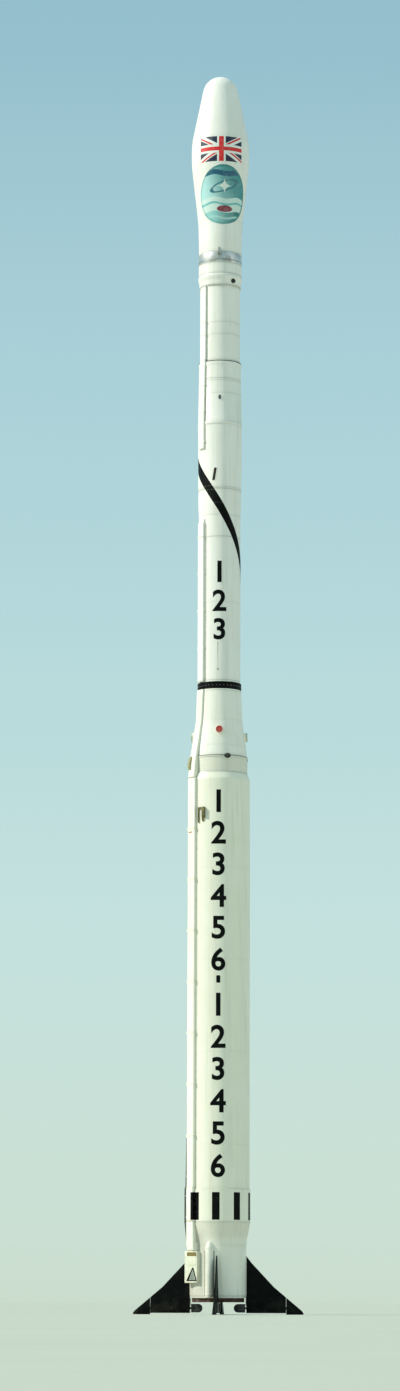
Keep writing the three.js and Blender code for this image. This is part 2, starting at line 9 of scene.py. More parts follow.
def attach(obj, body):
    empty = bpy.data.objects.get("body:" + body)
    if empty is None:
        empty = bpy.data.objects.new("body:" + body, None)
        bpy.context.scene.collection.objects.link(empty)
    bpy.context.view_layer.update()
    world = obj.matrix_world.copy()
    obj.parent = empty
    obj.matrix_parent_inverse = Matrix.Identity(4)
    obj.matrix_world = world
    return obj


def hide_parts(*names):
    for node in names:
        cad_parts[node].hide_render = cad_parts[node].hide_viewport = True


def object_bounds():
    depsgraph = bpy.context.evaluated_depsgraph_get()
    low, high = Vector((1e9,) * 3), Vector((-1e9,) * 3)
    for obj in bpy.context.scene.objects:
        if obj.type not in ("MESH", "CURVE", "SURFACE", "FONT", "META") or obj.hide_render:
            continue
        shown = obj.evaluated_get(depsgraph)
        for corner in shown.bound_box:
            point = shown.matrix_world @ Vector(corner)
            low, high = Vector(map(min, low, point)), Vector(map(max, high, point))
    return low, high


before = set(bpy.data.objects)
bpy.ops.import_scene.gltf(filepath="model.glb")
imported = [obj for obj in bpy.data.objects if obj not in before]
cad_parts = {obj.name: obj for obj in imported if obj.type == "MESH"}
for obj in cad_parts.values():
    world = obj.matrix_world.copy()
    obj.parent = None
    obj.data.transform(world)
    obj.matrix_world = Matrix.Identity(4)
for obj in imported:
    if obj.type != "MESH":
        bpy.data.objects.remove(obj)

CAD_BOX = [list(corner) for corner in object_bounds()]

# Camera, floor and light.
# The photograph looks up from just above the ground, far enough off that the rocket
# keeps its proportions. The rocket leans a little and stands right of the middle.
IMAGE_WIDTH, IMAGE_HEIGHT = 400, 1391
FOCAL_LENGTH = 3750                  # in pixels of the photograph
BASE_PIXEL = (217.9, 1298.0)         # where the base ring's centre shows
LEAN = 0.0029                        # of the axis in the picture, towards the right
CAMERA_DISTANCE = 68.0
CAMERA_AZIMUTH = 3.2                 # degrees from the front fin towards the right one
CAMERA_ABOVE_FLOOR = 0.24
CAMERA_REACH = 1000.0
SENSOR = 36.0
FLOOR_LEVEL = CAD_BOX[0][2]
FLOOR_HALF, FLOOR_DROP = 300.0, 0.002
SUN_AZIMUTH, SUN_HEIGHT = -76.0, 37.0
GLOW_AZIMUTH, GLOW_RISE = 62, 0.08


def radial(azimuth, radius=1.0, height=0.0):
    """The point at an azimuth in degrees from the front (-Y) towards the right (+X)."""
    turn = math.radians(azimuth)
    return Vector((radius * math.sin(turn), -radius * math.cos(turn), height))


eye = radial(CAMERA_AZIMUTH, CAMERA_DISTANCE, FLOOR_LEVEL + CAMERA_ABOVE_FLOOR)
below = math.atan((BASE_PIXEL[1] - IMAGE_HEIGHT / 2) / FOCAL_LENGTH)
pitch = below + math.atan(-eye.z / CAMERA_DISTANCE)
middle_x = BASE_PIXEL[0] + LEAN * (BASE_PIXEL[1] - IMAGE_HEIGHT / 2) - IMAGE_WIDTH / 2
yaw = math.atan(middle_x / FOCAL_LENGTH)
camera = bpy.data.objects.new("camera", bpy.data.cameras.new("camera"))
camera.data.sensor_fit = "VERTICAL"
camera.data.sensor_height = SENSOR
camera.data.lens = FOCAL_LENGTH / IMAGE_HEIGHT * SENSOR
camera.data.clip_end = CAMERA_REACH
camera.matrix_world = (
    Matrix.Translation(eye)
    @ Matrix.Rotation(math.radians(CAMERA_AZIMUTH) + yaw, 4, "Z")
    @ Matrix.Rotation(math.pi / 2 + pitch, 4, "X")
    @ Matrix.Rotation(LEAN, 4, "Z"))
bpy.context.collection.objects.link(camera)
bpy.context.scene.camera = camera
bpy.context.scene.view_settings.view_transform = "Standard"


class Shade:
    """A value in a material. Arithmetic on it adds the nodes that work it out."""

    def __init__(self, tree, socket=None):
        self.tree = tree
        self.socket = socket

    def node(self, kind, settings=None, inputs=None, output=0):
        """Adds a node: its settings first, then the value or link of each socket."""
        made = self.tree.nodes.new("ShaderNode" + kind)
        for name, value in (settings or {}).items():
            if name == "stops":
                ramp = made.color_ramp
                while len(ramp.elements) < len(value):
                    ramp.elements.new(1.0)
                for element, (position, colour) in zip(ramp.elements, value):
                    element.position = position
                    element.color = colour
            else:
                setattr(made, name, value)
        for name, value in (inputs or {}).items():
            if isinstance(value, Shade):
                self.tree.links.new(value.socket, made.inputs[name])
            else:
                made.inputs[name].default_value = value
        return Shade(self.tree, made.outputs[output])

    def math(self, operation, *others):
        return self.node("Math", {"operation": operation}, dict(enumerate((self, *others))))

    def __add__(self, other):
        return self.math("ADD", other)

    def __sub__(self, other):
        return self.math("SUBTRACT", other)

    def __rsub__(self, other):
        return self.node("Math", {"operation": "SUBTRACT"}, {0: other, 1: self})

    def __mul__(self, other):
        return self.math("MULTIPLY", other)

    def __truediv__(self, other):
        return self.math("DIVIDE", other)

    __radd__ = __add__
    __rmul__ = __mul__

    def along(self, axis):
        """One coordinate of a place."""
        return self.node("SeparateXYZ", None, {0: self}, output=axis)

    def over(self, edge, soft):
        """0 below an edge and 1 above it, smooth over a width."""
        return self.node(
            "MapRange", {"interpolation_type": "SMOOTHSTEP"},
            {"Value": self, "From Min": edge - soft / 2, "From Max": edge + soft / 2})

    def near(self, centre, half, soft):
        """1 within half of a centre, and 0 outside."""
        return 1.0 - (self - centre).math("ABSOLUTE").over(half, soft)

    def tint(self, first, second):
        """Mixes two colours: this value is the share of the second."""
        return self.node("Mix", {"data_type": "RGBA"}, {0: self, 6: first, 7: second}, output=2)


def rgb(red, green, blue):
    return (red, green, blue, 1.0)


def start_finish(name):
    """A new material: the material, its maths, and the place on the object in metres."""
    material = bpy.data.materials.new(name)
    material.use_nodes = True
    material.node_tree.nodes.clear()
    shade = Shade(material.node_tree)
    return material, shade, shade.node("TexCoord", output="Object")


def end_finish(material, shade, colour, roughness, relief=None, depth=0.001, **constants):
    """Closes a material: relief is a height that is depth metres deep where it is 1."""
    inputs = {"Base Color": colour, "Roughness": roughness}
    inputs.update({name.replace("_", " "): value for name, value in constants.items()})
    if relief is not None:
        inputs["Normal"] = shade.node(
            "Bump", None, {"Strength": 1.0, "Distance": depth, "Height": relief})
    surface = shade.node("BsdfPrincipled", None, inputs)
    output = shade.tree.nodes.new("ShaderNodeOutputMaterial")
    shade.tree.links.new(surface.socket, output.inputs["Surface"])
    return material


def cloud(shade, place, scale, detail=3.0, rough=0.55, stretch=(1.0, 1.0, 1.0)):
    """Soft noise from 0 to 1, finer as scale grows, drawn out along an axis by stretch."""
    drawn = shade.node("Mapping", None, {"Vector": place, "Scale": stretch})
    return shade.node(
        "TexNoise", None,
        {"Vector": drawn, "Scale": scale, "Detail": detail, "Roughness": rough})


def floor_finish():
    """Pale dry ground, a little patchy."""
    material, shade, place = start_finish("pale_floor")
    patchy = cloud(shade, place, 0.35)
    colour = patchy.tint(rgb(0.555, 0.545, 0.435), rgb(0.61, 0.60, 0.49))
    return end_finish(material, shade, colour, 0.85)


def sunlight(name, direction, strength, width, colour):
    """A light from far off in a direction, as wide as said in degrees."""
    lamp = bpy.data.objects.new(name, bpy.data.lights.new(name, "SUN"))
    lamp.data.energy = strength
    lamp.data.angle = math.radians(width)
    lamp.data.color = colour
    lamp.rotation_euler = direction.to_track_quat("Z", "Y").to_euler()
    bpy.context.collection.objects.link(lamp)


floor_mesh = bpy.data.meshes.new("floor")
floor_mesh.from_pydata(
    [(x * FLOOR_HALF, y * FLOOR_HALF, FLOOR_LEVEL - FLOOR_DROP)
     for x, y in ((-1, -1), (1, -1), (1, 1), (-1, 1))], [], [(0, 1, 2, 3)])
floor_mesh.materials.append(floor_finish())
floor = bpy.data.objects.new("floor", floor_mesh)
bpy.context.collection.objects.link(floor)

sun_rise = math.radians(SUN_HEIGHT)
sunlight("sun", radial(SUN_AZIMUTH, math.cos(sun_rise), math.sin(sun_rise)), 3.55, 4.0,
         (1.0, 0.97, 0.88))
sunlight("ground_glow", radial(GLOW_AZIMUTH, 1.0, GLOW_RISE), 0.24, 40.0, (1.0, 0.74, 0.50))

STUDIO_COLOURS = (                   # upwards: the height of a direction, and its colour
    (0.00, rgb(0.595, 0.715, 0.605)),
    (0.022, rgb(0.60, 0.75, 0.66)),
    (0.10, rgb(0.55, 0.75, 0.73)),
    (0.18, rgb(0.46, 0.69, 0.71)),
    (0.26, rgb(0.39, 0.62, 0.68)),
    (0.33, rgb(0.30, 0.52, 0.61)),
)
world = bpy.data.worlds.new("pale_studio")
world.use_nodes = True
world.node_tree.nodes.clear()
studio = Shade(world.node_tree)
upwards = studio.node("TexCoord", output="Generated").along("Z")
studio_colour = studio.node("ValToRGB", {"stops": STUDIO_COLOURS}, {"Fac": upwards})
background = studio.node("Background", None, {"Color": studio_colour, "Strength": 1.0})
world_output = world.node_tree.nodes.new("ShaderNodeOutputWorld")
world.node_tree.links.new(background.socket, world_output.inputs["Surface"])
bpy.context.scene.world = world

# Base section.
# A rolled and riveted shell of sheet metal on a machined ring, painted white. It flares
# out to the first stage, and its ring is what the rocket stands on.
BASE_RADIUS = 0.505
BASE_FLARE_START, BASE_FLARE_SOFT = 0.975, 0.09
BASE_TOP = 1.350
SKIRT_RADIUS = 0.575
BASE_WALL = 0.014
RING_INNER, RING_HEIGHT = 0.470, 0.030
BASE_OUTLINE = [(BASE_RADIUS, 0.0), (BASE_RADIUS, BASE_FLARE_START), (SKIRT_RADIUS, BASE_TOP)]
BASE_LAPS = (25, 65, 115, 155, 205, 245, 335)
LAP_RIVETS, LAP_RIVET_LOW, LAP_RIVET_PITCH = 20, 0.06, 0.043
RING_SCREW_HEIGHT, BASE_RIVET_ROWS, FLARE_RIVET_ROW = 0.016, (0.912, 0.947), 1.328
BASE_DOORS = [(azimuth, 0.46, 0.20, 0.30) for azimuth in (135, 225)]
LAP_WIDE, LAP_TALL, LAP_MIDDLE, LAP_PROUD = 0.035, 0.86, 0.475, 0.0012
AROUND = 128                         # sides of a turned piece
SHEET_CORNER = 0.004                 # radius of a cut sheet's corners
DEEP = 0.003                         # how far a laid shape reaches into the skin
LAID_STRIP, LAID_LANE = 0.022, 0.04  # widths of the strips that a laid shape bends in
DOOR_PROUD, DOOR_JOINT_PROUD = 0.0022, 0.0010
DOOR_JOINT, DOOR_INSET = 0.008, 0.024
LAID_CREASE = 40                     # a thin plate keeps its broad face smooth up to here
SCREW = (0.007, 0.004)               # radius and height of a head
DOOR_SCREW = (0.0045, 0.0025)
BASE_RIVET = (0.0055, 0.0025)
HEAD_SUNK = 0.001


def link(name, mesh, finish, node=None, body="airframe"):
    """Puts a finished mesh into the scene: on its body, in place of its node."""
    material, own_slot = finish
    mesh.materials.clear()
    mesh.materials.append(material)
    piece = bpy.data.objects.new(name, mesh)
    bpy.context.collection.objects.link(piece)
    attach(piece, body)
    if node:
        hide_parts(node)


def joined(shapes):
    """One shape of several, which are used up."""
    whole = bmesh.new()
    for shape in shapes:
        spare = bpy.data.meshes.new("spare")
        shape.to_mesh(spare)
        shape.free()
        whole.from_mesh(spare)
        bpy.data.meshes.remove(spare)
    return whole


def build(name, shape, finish, node=None, body="airframe", crease=32.0):
    """Makes a piece of a shape or a list of them: facing out, creased at its sharper edges."""
    bm = joined(shape) if isinstance(shape, list) else shape
    bmesh.ops.recalc_face_normals(bm, faces=bm.faces)
    if bm.calc_volume(signed=True) < 0:
        bmesh.ops.reverse_faces(bm, faces=bm.faces[:])
    mesh = bpy.data.meshes.new(name)
    bm.to_mesh(mesh)
    bm.free()
    mesh.shade_smooth()
    mesh.set_sharp_from_angle(angle=math.radians(crease))
    link(name, mesh, finish, node, body)


def softened(profile, reach, steps=4):
    """Rounds the corners of an open profile of (radius, height) points."""
    points = [Vector(point) for point in profile]
    line = [points[0]]
    for before, corner, after in zip(points, points[1:], points[2:]):
        into, out = before - corner, after - corner
        cut = min(reach, into.length * 0.45, out.length * 0.45)
        start, end = corner + into.normalized() * cut, corner + out.normalized() * cut
        for i in range(steps + 1):
            t = i / steps
            line.append(start * (1 - t) ** 2 + corner * 2 * t * (1 - t) + end * t ** 2)
    line.append(points[-1])
    return [tuple(point) for point in line]


def turned(profile, sides=AROUND, closed=False):
    """Turns a profile of (radius, height) points about the upright axis."""
    bm = bmesh.new()
    rings = []
    for radius, height in profile:
        if radius < 1e-6:
            rings.append([bm.verts.new((0, 0, height))] * sides)
        else:
            rings.append([
                bm.verts.new(radial(360 * i / sides, radius, height)) for i in range(sides)])
    pairs = list(zip(rings, rings[1:])) + ([(rings[-1], rings[0])] if closed else [])
    for low, high in pairs:
        for i in range(sides):
            j = (i + 1) % sides
            corners = list(dict.fromkeys((low[i], low[j], high[j], high[i])))
            if len(corners) > 2:
                bm.faces.new(corners)
    return bm


def capped(points, sides=AROUND):
    """Turns an outline, lowest point first, into a solid that is closed at both ends."""
    return turned([(0.0, points[0][1])] + points + [(0.0, points[-1][1])], sides)


def white_paint(name, joints=(), grime=1.0, warm=0.0, primer_and_shade_bands=(), painted_shadow=None):
    """Warm white gloss over primer: streaked by rain, dulled by dust, dark in its joints.

    Joints are (height, strength): a dark line, with a soft band of painted shade round it.
    Bands are (middle, half, strength) in a beige tone: primer that shows through, and on the
    base's flare, which faces down, painted shade. A painted shadow is (centre, reach): a dark
    patch drawn out upright, which stands for a shadow cast on the paint.
    """
    material, shade, place = start_finish(name)
    height = place.along("Z")
    patches = cloud(shade, place, 1.6, 4.0).over(0.52, 0.30)
    streaks = cloud(shade, place, 3.0, 5.0, 0.6, (5.0, 5.0, 0.22)).over(0.60, 0.22)
    fine = cloud(shade, place, 40.0, 2.0)
    blue = 0.75 - 0.08 * warm
    colour = patches.tint(rgb(0.86, 0.82, blue), rgb(0.89, 0.85, blue + 0.04))
    colour = (streaks * (0.34 * grime)).tint(colour, rgb(0.62, 0.59, 0.46))
    colour = (fine * 0.10).tint(colour, rgb(0.72, 0.71, 0.61))
    # Beige bands: primer that shows through, and painted shade on a flare that faces down.
    for middle, half, strength in primer_and_shade_bands:
        shown = height.near(middle, half, 0.12) * (0.7 + patches * 0.3) * strength
        colour = shown.tint(colour, rgb(0.52, 0.47, 0.32))
    # A painted shadow: a dark patch, drawn out upright, that stands for a cast shadow.
    if painted_shadow:
        centre, reach = painted_shadow
        drawn = shade.node("VectorMath", {"operation": "SUBTRACT"}, {0: place, 1: centre})
        drawn = shade.node(
            "VectorMath", {"operation": "MULTIPLY"}, {0: drawn, 1: (1.0, 1.0, 0.45)})
        away = shade.node("VectorMath", {"operation": "LENGTH"}, {0: drawn}, output="Value")
        shadowed = 1.0 - (away + cloud(shade, place, 6.0, 4.0) * 0.12).over(reach, 0.20)
        colour = (shadowed * 0.5).tint(colour, rgb(0.33, 0.33, 0.25))
    # Each joint is a dark line, with a soft band of painted shade round it.
    for joint, strength in joints:
        line = height.near(joint, 0.006, 0.006) * strength
        joint_shade = height.near(joint, 0.03, 0.07) * (0.24 * strength)
        colour = joint_shade.math("MAXIMUM", line).tint(colour, rgb(0.24, 0.24, 0.19))
    roughness = 0.36 + patches * 0.10 + streaks * 0.12
    relief = fine * 0.6 + cloud(shade, place, 7.0, 2.0) * 0.4
    return end_finish(material, shade, colour, roughness, relief, 0.0006), "white_paint"


def metal(name, colour, metallic, slot="steel"):
    """Brushed metal, duller and browner where hands and weather have been."""
    material, shade, place = start_finish(name)
    grain = cloud(shade, place, 18.0, 4.0, 0.6, (30.0, 30.0, 2.0))
    age = cloud(shade, place, 6.0, 3.0).over(0.56, 0.24)
    worn = grain.tint(rgb(*colour), rgb(*(value * 1.2 for value in colour)))
    worn = (age * 0.45).tint(worn, rgb(0.20, 0.17, 0.12))
    roughness = 0.30 + grain * 0.16 + age * 0.18
    return end_finish(
        material, shade, worn, roughness, grain, 0.0004, Metallic=metallic), slot


def mottled(name, slot, dark, light, scale, roughness, depth=0.0012, metallic=0.0):
    """A rough cast or moulded finish in two close colours, scuffed and dusty."""
    material, shade, place = start_finish(name)
    coarse = cloud(shade, place, scale, 5.0, 0.62)
    dust = cloud(shade, place, scale * 0.3, 3.0).over(0.60, 0.26)
    colour = coarse.over(0.5, 0.4).tint(rgb(*dark), rgb(*light))
    colour = (dust * 0.35).tint(colour, rgb(0.24, 0.22, 0.18))
    return end_finish(
        material, shade, colour, roughness + dust * 0.15, coarse, depth, Metallic=metallic), slot


def head_tree(sides=8, taper=0.62):
    """A node tree that puts a screw head on every vertex, facing along its outward vector."""
    tree = bpy.data.node_groups.new("screw_heads", "GeometryNodeTree")
    ports = {}
    for name, kind in (("Places", "Geometry"), ("Head Radius", "Float"),
                       ("Head Height", "Float"), ("Finish", "Material")):
        socket = tree.interface.new_socket(name, in_out="INPUT", socket_type="NodeSocket" + kind)
        ports[name] = socket.identifier
    tree.interface.new_socket("Heads", in_out="OUTPUT", socket_type="NodeSocketGeometry")
    given = tree.nodes.new("NodeGroupInput")
    head = tree.nodes.new("GeometryNodeMeshCone")
    head.inputs["Vertices"].default_value = sides
    shrink = tree.nodes.new("ShaderNodeMath")
    shrink.operation = "MULTIPLY"
    shrink.inputs[1].default_value = taper
    outward = tree.nodes.new("GeometryNodeInputNamedAttribute")
    outward.data_type = "FLOAT_VECTOR"
    outward.inputs["Name"].default_value = "outward"
    aim = tree.nodes.new("FunctionNodeAlignRotationToVector")
    aim.axis = "Z"
    scatter = tree.nodes.new("GeometryNodeInstanceOnPoints")
    real = tree.nodes.new("GeometryNodeRealizeInstances")
    paint = tree.nodes.new("GeometryNodeSetMaterial")
    result = tree.nodes.new("NodeGroupOutput")
    for source, output, target, entry in (
            (given, "Places", scatter, "Points"),
            (given, "Head Radius", head, "Radius Bottom"),
            (given, "Head Radius", shrink, 0),
            (shrink, "Value", head, "Radius Top"),
            (given, "Head Height", head, "Depth"),
            (head, "Mesh", scatter, "Instance"),
            (outward, "Attribute", aim, "Vector"),
            (aim, "Rotation", scatter, "Rotation"),
            (scatter, "Instances", real, "Geometry"),
            (real, "Geometry", paint, "Geometry"),
            (given, "Finish", paint, "Material"),
            (paint, "Geometry", result, "Heads")):
        tree.links.new(source.outputs[output], target.inputs[entry])
    return tree, ports


HEAD_TREE, HEAD_PORTS = head_tree()


def screws(name, places, finish, size=SCREW, body="airframe"):
    """Screw or rivet heads at (point, outward) places, as one plain mesh."""
    mesh = bpy.data.meshes.new(name)
    mesh.from_pydata([point - outward * HEAD_SUNK for point, outward in places], [], [])
    facing = mesh.attributes.new("outward", "FLOAT_VECTOR", "POINT")
    facing.data.foreach_set("vector", [value for _, outward in places for value in outward])
    holder = bpy.data.objects.new(name, mesh)
    bpy.context.collection.objects.link(holder)
    modifier = holder.modifiers.new("heads", "NODES")
    modifier.node_group = HEAD_TREE
    for port, value in zip(("Head Radius", "Head Height", "Finish"), (*size, finish[0])):
        modifier[HEAD_PORTS[port]] = value
    made = bpy.data.meshes.new_from_object(
        holder.evaluated_get(bpy.context.evaluated_depsgraph_get()))
    bpy.data.objects.remove(holder)
    made.name = name
    link(name, made, finish, body=body)


def radius_at(outline, height):
    """The radius of an outline of (radius, height) points, lowest first, at a height."""
    for (low_radius, low), (high_radius, high) in zip(outline, outline[1:]):
        if low <= height <= high and high > low:
            return low_radius + (high_radius - low_radius) * (height - low) / (high - low)
    return outline[0][0] if height < outline[0][1] else outline[-1][0]


def spot(azimuth, radius, height):
    """A screw's place: the point, and the way out from it."""
    return radial(azimuth, radius, height), radial(azimuth)


def rows(skin, heights, count, start=0.0, end=360.0):
    """Screws' places spread evenly at each height, on an outline or at one radius."""
    places = []
    for height in heights:
        radius = radius_at(skin, height) if isinstance(skin, list) else skin
        for i in range(count):
            places.append(spot(start + (end - start) * (i + 0.5) / count, radius, height))
    return places


def flat(points):
    """A flat shape of (x, y) points, to be laid on the rocket."""
    bm = bmesh.new()
    bm.faces.new([bm.verts.new((x, y, 0.0)) for x, y in points])
    return bm


def rounded(wide, tall, corner, steps=3):
    """The points of an upright rectangle with round corners."""
    points = []
    for quarter, (side, end) in enumerate(((1, 1), (-1, 1), (-1, -1), (1, -1))):
        for i in range(steps + 1):
            turn = math.pi / 2 * (quarter + i / steps)
            points.append((side * (wide / 2 - corner) + corner * math.cos(turn),
                           end * (tall / 2 - corner) + corner * math.sin(turn)))
    return points


def laid_on(bm, azimuth, height, outline, proud, bend=None):
    """Bends a flat shape round the rocket: x to the right, y up, proud of its outline.

    The shape keeps its (x, y) as a UV map from 0 to 1. Bend is the radius that turns x into
    an angle, where that isn't the outline's own.
    """
    low_x, high_x = min(v.co.x for v in bm.verts), max(v.co.x for v in bm.verts)
    low_y, high_y = min(v.co.y for v in bm.verts), max(v.co.y for v in bm.verts)
    strips = math.ceil((high_x - low_x) / LAID_STRIP)
    cuts = [((low_x + (high_x - low_x) * i / strips, 0, 0), (1, 0, 0)) for i in range(1, strips)]
    cuts += [((0, level - height, 0), (0, 1, 0)) for _, level in outline]
    if radius_at(outline, height + low_y) != radius_at(outline, height + high_y):
        lanes = math.ceil((high_y - low_y) / LAID_LANE)
        cuts += [((0, low_y + (high_y - low_y) * i / lanes, 0), (0, 1, 0))
                 for i in range(1, lanes)]
    for point, normal in cuts:
        everything = bm.verts[:] + bm.edges[:] + bm.faces[:]
        bmesh.ops.bisect_plane(bm, geom=everything, dist=1e-5, plane_co=point, plane_no=normal)
    bmesh.ops.solidify(bm, geom=bm.faces[:], thickness=proud + DEEP)
    chart = bm.loops.layers.uv.new("UVMap")
    for face in bm.faces:
        for loop in face.loops:
            x, y, _ = loop.vert.co
            loop[chart].uv = ((x - low_x) / (high_x - low_x), (y - low_y) / (high_y - low_y))
    for vertex in bm.verts:
        x, y, depth = vertex.co
        skin = radius_at(outline, height + y)
        turn = azimuth + math.degrees(x / (bend or skin))
        vertex.co = radial(turn, skin + proud - abs(depth), height + y)
    return bm


def plate(wide, tall, azimuth, height, outline, proud, corner=SHEET_CORNER, bend=None):
    """A rectangle with round corners, laid on the rocket."""
    return laid_on(flat(rounded(wide, tall, corner)), azimuth, height, outline, proud, bend)


def doors(name, spots, outline, finish, corner=0.025, pitch=0.07):
    """Cover plates at (azimuth, height, width, tallness), on sealant and screwed at the edge."""
    for number, (azimuth, height, wide, tall) in enumerate(spots):
        door = f"{name}_{number + 1}"
        build(door + "_joint", plate(
            wide + DOOR_JOINT, tall + DOOR_JOINT, azimuth, height, outline, DOOR_JOINT_PROUD,
            corner), DARK_SEALANT, crease=LAID_CREASE)
        build(door, plate(wide, tall, azimuth, height, outline, DOOR_PROUD, corner), finish,
              crease=LAID_CREASE)
        inset_wide, inset_tall = wide - DOOR_INSET, tall - DOOR_INSET
        across, up = max(2, round(inset_wide / pitch)), max(2, round(inset_tall / pitch))
        holes = []
        for i in range(across + 1):
            holes += [(inset_wide * (i / across - 0.5), side * inset_tall / 2)
                      for side in (-1, 1)]
        for i in range(1, up):
            holes += [(side * inset_wide / 2, inset_tall * (i / up - 0.5)) for side in (-1, 1)]
        places = []
        for x, y in holes:
            skin = radius_at(outline, height + y)
            places.append(spot(azimuth + math.degrees(x / skin), skin + DOOR_PROUD, height + y))
        screws(door + "_screws", places, STEEL, DOOR_SCREW)


STEEL = metal("bare_steel", (0.42, 0.43, 0.42), 0.85)
DARK_SEALANT = mottled(
    "dark_sealant", "insulation", (0.045, 0.050, 0.035), (0.11, 0.115, 0.085), 20.0, 0.75)
# Painted shade: the band on the flare, which faces down, and the dark patch low on the left.
BASE_WHITE = white_paint(
    "white_paint_base", ((0.036, 0.6), (0.93, 0.14), (1.340, 0.30)), 1.2, 0.6,
    primer_and_shade_bands=((1.225, 0.15, 0.26),), painted_shadow=(radial(-52, 0.52, 0.56), 0.38))
outside = softened(BASE_OUTLINE, BASE_FLARE_SOFT, 8)
inside = [(radius - BASE_WALL, height) for radius, height in reversed(outside)]
inside[-1:] = [
    (BASE_RADIUS - BASE_WALL, RING_HEIGHT), (RING_INNER, RING_HEIGHT), (RING_INNER, 0.0)]
build("base_shell", turned(outside + inside, closed=True), BASE_WHITE, "base_section")
screws("base_ring_screws", rows(BASE_RADIUS, (RING_SCREW_HEIGHT,), 60), STEEL)
lap_rivets = [spot(lap, BASE_RADIUS, LAP_RIVET_LOW + LAP_RIVET_PITCH * i)
              for lap in BASE_LAPS for i in range(LAP_RIVETS)]
screws("base_rivets",
       rows(BASE_RADIUS, BASE_RIVET_ROWS, 72)
       + rows(SKIRT_RADIUS - 0.004, (FLARE_RIVET_ROW,), 80) + lap_rivets,
       BASE_WHITE, BASE_RIVET)
doors("base_door", BASE_DOORS, BASE_OUTLINE, BASE_WHITE)
build("base_seam_straps",
      [plate(LAP_WIDE, LAP_TALL, lap, LAP_MIDDLE, BASE_OUTLINE, LAP_PROUD) for lap in BASE_LAPS],
      BASE_WHITE)

# Heat ring and nozzle.
# A ring of brown cork and rubber closes the gap between the base ring and the nozzle. The
# nozzle is a graphite-lined bell, black with soot inside, bolted under the first motor.
HEAT_OUTER, HEAT_INNER = 0.469, 0.450
HEAT_LOW, HEAT_HIGH = -0.075, 0.024
HEAT_EDGE, HEAT_EDGE_TALL = 0.005, 0.006
NOZZLE_EXIT, NOZZLE_EXIT_RADIUS = -0.060, 0.425
NOZZLE_LIP_TALL, NOZZLE_LIP_STEP = 0.05, 0.001
THROAT, THROAT_RADIUS = 0.860, 0.150
NOZZLE_TOP, NOZZLE_WALL = 1.119, 0.022
heat_profile = [
    (HEAT_OUTER, HEAT_HIGH), (HEAT_OUTER, HEAT_LOW + HEAT_EDGE_TALL),
    (HEAT_OUTER - HEAT_EDGE, HEAT_LOW), (HEAT_INNER + HEAT_EDGE, HEAT_LOW),
    (HEAT_INNER, HEAT_LOW + HEAT_EDGE_TALL), (HEAT_INNER, HEAT_HIGH)]
CORK = mottled(
    "heat_ring_cork", "insulation", (0.022, 0.008, 0.005), (0.080, 0.030, 0.018), 26.0, 0.86)
build("heat_ring", turned(heat_profile, closed=True), CORK, "base_heat_ring")

bell = softened([
    (NOZZLE_EXIT_RADIUS, NOZZLE_EXIT), (THROAT_RADIUS, THROAT),
    (THROAT_RADIUS + NOZZLE_WALL, NOZZLE_TOP)], 0.16, 8)
jacket = softened([
    (THROAT_RADIUS + 3 * NOZZLE_WALL, NOZZLE_TOP), (THROAT_RADIUS + 2 * NOZZLE_WALL, THROAT),
    (NOZZLE_EXIT_RADIUS + NOZZLE_WALL - NOZZLE_LIP_STEP, NOZZLE_EXIT + NOZZLE_LIP_TALL),
    (NOZZLE_EXIT_RADIUS + NOZZLE_WALL, NOZZLE_EXIT)], 0.02)
GRAPHITE = mottled(
    "graphite", "graphite", (0.018, 0.018, 0.019), (0.070, 0.070, 0.072), 14.0, 0.48, 0.0008, 0.35)
build("nozzle_bell", turned(bell + jacket, closed=True), GRAPHITE, "first_stage_nozzle")

# Fins, fin tips and jet vanes.
# Four wedge-shaped fins of riveted sheet, painted satin black. The outer end of each is
# movable, and turns on one steel shaft with a graphite vane that stands in the exhaust.
FIN_QUARTERS = (("front", 0), ("right", 90), ("back", 180), ("left", 270))
FIN_EDGE, VANE_EDGE = 0.002, 0.004   # how far their edges are rounded
FIN_RIVET = (0.0055, 0.0022)
ROOT_STRIP_WIDE, ROOT_STRIP_TALL = 0.024, 0.69
ROOT_STRIP_OUT, ROOT_STRIP_MIDDLE, ROOT_STRIP_PROUD = 0.023, 0.385, 0.003
POST_LOW, POST_HIGH = (-0.014, 0.491, -0.135), (0.014, 0.5045, -0.002)


def faces_out(edge):
    """Whether one of an edge's faces looks away from the rocket's axis."""
    middle = (edge.verts[0].co + edge.verts[1].co) / 2
    out = Vector((middle.x, middle.y, 0)).normalized()
    return any(face.normal.dot(out) > 0.6 for face in edge.link_faces)


def eased(node, width, crease=28.0, segments=2, outer=False, clamped=True):
    """A copy of a CAD node: its loose faces joined, its edges or its outer ones rounded."""
    bm = bmesh.new()
    bm.from_mesh(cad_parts[node].data)
    bmesh.ops.remove_doubles(bm, verts=bm.verts[:], dist=0.00005)
    bmesh.ops.dissolve_limit(
        bm, angle_limit=math.radians(0.6), verts=bm.verts[:], edges=bm.edges[:])
    edges = [edge for edge in bm.edges if edge.calc_face_angle(0.0) > math.radians(crease)]
    if outer:
        edges = [edge for edge in edges if faces_out(edge)]
    bmesh.ops.bevel(
        bm, geom=edges, offset=width, offset_type="OFFSET", segments=segments, profile=0.6,
        affect="EDGES", clamp_overlap=clamped)
    return bm


def seated(node, start, direction):
    """Where a ray meets a CAD node's surface, with the way that the surface faces."""
    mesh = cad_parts[node].data
    surface = BVHTree.FromPolygons(
        [vertex.co for vertex in mesh.vertices], [face.vertices for face in mesh.polygons])
    place, outward, _, _ = surface.ray_cast(start, direction)
    return place, outward


